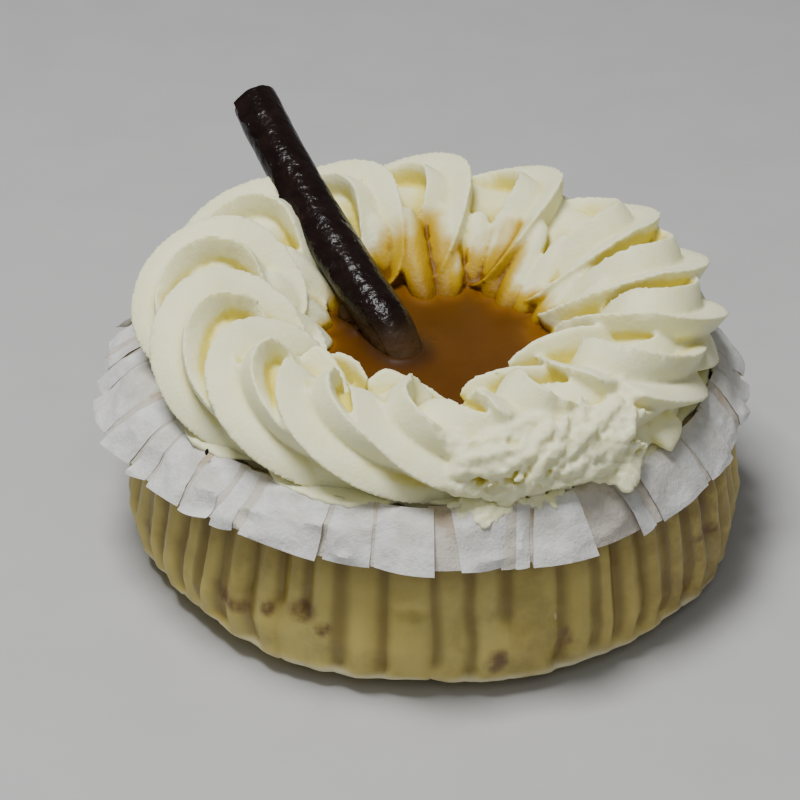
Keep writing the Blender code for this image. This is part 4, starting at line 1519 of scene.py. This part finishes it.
class CHEESECAKE_OT_stick(bpy.types.Operator):
    """Roll the chocolate stick, with its ragged seam and uneven ends"""

    bl_idname = "cheesecake.stick"
    bl_label = "Chocolate stick"

    def execute(self, context):
        settings = context.scene.cheesecake_stick
        along = STICK_TIP - STICK_FOOT
        axis = np.array(along.normalized())
        aside = np.array(along.cross(Vector((0.0, 0.0, 1.0))).normalized())
        over = np.cross(aside, axis)
        share = np.linspace(-0.10, 1.0, STICK_ROWS)
        turn = 2.0 * math.pi * np.arange(STICK_COLUMNS) / STICK_COLUMNS
        line = np.outer(share * along.length / MM, (1.0, 0.0, 0.0))
        seam = STICK_SEAM + 0.25 * cloud(line, 9.0, 81, 4) + 0.12 * cloud(line, 2.0, 82, 2)
        wide = 1.0 + 0.02 * cloud(line, 12.0, 83, 2)
        flap = np.clip(0.12 + 0.10 * cloud(line, 6.0, 84, 3), 0.03, 0.25)
        points = []
        for i in range(STICK_ROWS):
            bow = 4.0 * share[i] * (1.0 - share[i]) * STICK_BOW
            centre = np.array(STICK_FOOT) + share[i] * np.array(along) - bow * aside
            sunk = max(0.0, (0.13 - share[i]) / 0.23) ** 1.6
            centre[2] -= 4.4 * MM * sunk
            back = ((seam[i] - turn) % (2.0 * math.pi)) / (2.0 * math.pi)
            lip = flap[i] * ease((share[i] - 0.05) / 0.2) * np.exp(-back / 0.03)
            radius = settings.radius * wide[i] * (0.97 - 0.06 * back + lip)
            flat = np.outer(radius * np.cos(turn) * (1.0 - 0.35 * sunk), aside)
            tall = np.outer(radius * np.sin(turn) * (1.0 - 0.75 * sunk), over)
            points.append(centre + flat + tall)
        points = np.concatenate(points)
        centres = points.reshape(STICK_ROWS, STICK_COLUMNS, 3).mean(1)
        out = points - np.repeat(centres, STICK_COLUMNS, axis=0)
        out /= np.linalg.norm(out, axis=1)[:, None]
        uneven = 0.12 * cloud(points, 3.0 * MM, 85, 3) + 0.05 * cloud(points, 0.8 * MM, 87, 2)
        points += out * (uneven * MM)[:, None]
        last = (STICK_ROWS - 1) * STICK_COLUMNS
        ends = []
        for first, shift in ((0, -1.0), (last, 1.0)):
            edge = points[first:first + STICK_COLUMNS]
            edge += axis * (cloud(edge, 2.5 * MM, 91, 3) * 0.5 * MM)[:, None]
            ends.append(edge.mean(0) - shift * axis * 0.6 * MM)
        faces = [
            *strip_faces(STICK_ROWS, STICK_COLUMNS),
            *fan_faces(len(points), 0, STICK_COLUMNS)[:, ::-1],
            *fan_faces(len(points) + 1, last, STICK_COLUMNS),
        ]
        stick = new_mesh_object("rolled_stick", np.vstack((points, *ends)), faces)
        stick = join([stick, chips("flakes", FLAKES, 95, 3, 0.4)], "rolled_stick")
        face_outward(stick)
        points = points_of(stick)
        film = 1.0 - ease((points[:, 2] - 33.6 * MM) / (5.0 * MM))
        film = np.clip(film * (1.0 + 0.5 * cloud(points, 3.0 * MM, 93, 3)), 0.0, 1.0)
        put_values(stick, "film", film)
        chocolate = chocolate_material(settings)
        finish(stick, chocolate, "chocolate", "chocolate_stick", angle=45)
        specks = chips("chocolate_specks", SPECKS, 97, 2, 0.3)
        put_values(specks, "film", 0.0)
        finish(specks, chocolate, "chocolate")
        return {"FINISHED"}


# Stage


def area_light(name, place, size, power):
    """A soft square light that looks at the middle of the cake."""
    bpy.ops.object.light_add(type="AREA", location=place)
    item = bpy.context.active_object
    item.name = name
    item.data.size = size
    item.data.energy = power
    aim = Vector(place) - Vector((0.0, 0.0, 0.03))
    item.rotation_euler = aim.to_track_quat("Z", "Y").to_euler()


class CHEESECAKE_OT_stage(bpy.types.Operator):
    """Lay the floor and set the camera and the soft lights"""

    bl_idname = "cheesecake.stage"
    bl_label = "Stage"

    def execute(self, context):
        settings = context.scene.cheesecake_stage
        bpy.ops.object.select_all(action="DESELECT")
        bpy.ops.mesh.primitive_plane_add(size=4.0)
        floor = context.active_object
        floor.name = "floor"
        floor.data.materials.append(floor_material(settings))
        back = Vector((0.0, -math.cos(settings.elevation), math.sin(settings.elevation)))
        bpy.ops.object.camera_add(
            location=CAMERA_TARGET + settings.distance * back,
            rotation=(math.pi / 2.0 - settings.elevation, 0.0, 0.0),
        )
        camera = context.active_object
        camera.data.lens = settings.lens
        camera.data.sensor_width = SENSOR_WIDTH
        camera.data.clip_start = CLIP_START
        context.scene.camera = camera
        area_light("key", KEY_PLACE, KEY_SIZE, settings.key_power)
        area_light("fill", FILL_PLACE, FILL_SIZE, settings.fill_power)
        world = bpy.data.worlds.new("Soft light")
        world.use_nodes = True
        background = world.node_tree.nodes["Background"]
        background.inputs["Color"].default_value = SKY_COLOUR
        background.inputs["Strength"].default_value = settings.sky
        context.scene.world = world
        return {"FINISHED"}


OPERATORS = (
    CHEESECAKE_OT_cream_ring,
    CHEESECAKE_OT_cream_bed,
    CHEESECAKE_OT_paper_wall,
    CHEESECAKE_OT_paper_collar,
    CHEESECAKE_OT_layers,
    CHEESECAKE_OT_stick,
    CHEESECAKE_OT_caramel,
    CHEESECAKE_OT_stage,
)
SETTINGS = {
    "cheesecake_cream": CreamSettings,
    "cheesecake_paper": PaperSettings,
    "cheesecake_caramel": CaramelSettings,
    "cheesecake_stick": StickSettings,
    "cheesecake_stage": StageSettings,
}


class VIEW3D_PT_cheesecake(bpy.types.Panel):
    """The pieces of the cheesecake"""

    bl_label = "Cheesecake"
    bl_space_type = "VIEW_3D"
    bl_region_type = "UI"
    bl_category = "Cheesecake"

    def draw(self, context):
        for operator in OPERATORS:
            self.layout.operator(operator.bl_idname)


def register():
    """Register the settings, the operators and the panel."""
    for name, group in SETTINGS.items():
        bpy.utils.register_class(group)
        setattr(bpy.types.Scene, name, bpy.props.PointerProperty(type=group))
    for item in (*OPERATORS, VIEW3D_PT_cheesecake):
        bpy.utils.register_class(item)


def unregister():
    """Take them out again."""
    for item in (*OPERATORS, VIEW3D_PT_cheesecake):
        bpy.utils.unregister_class(item)
    for name, group in SETTINGS.items():
        delattr(bpy.types.Scene, name)
        bpy.utils.unregister_class(group)


def main():
    """Build every piece in order."""
    register()
    bpy.ops.cheesecake.cream_ring()
    bpy.ops.cheesecake.cream_bed()
    bpy.ops.cheesecake.paper_wall()
    bpy.ops.cheesecake.paper_collar()
    bpy.ops.cheesecake.layers()
    bpy.ops.cheesecake.stick()
    bpy.ops.cheesecake.caramel()
    bpy.ops.cheesecake.stage()


if __name__ == "__main__":
    main()
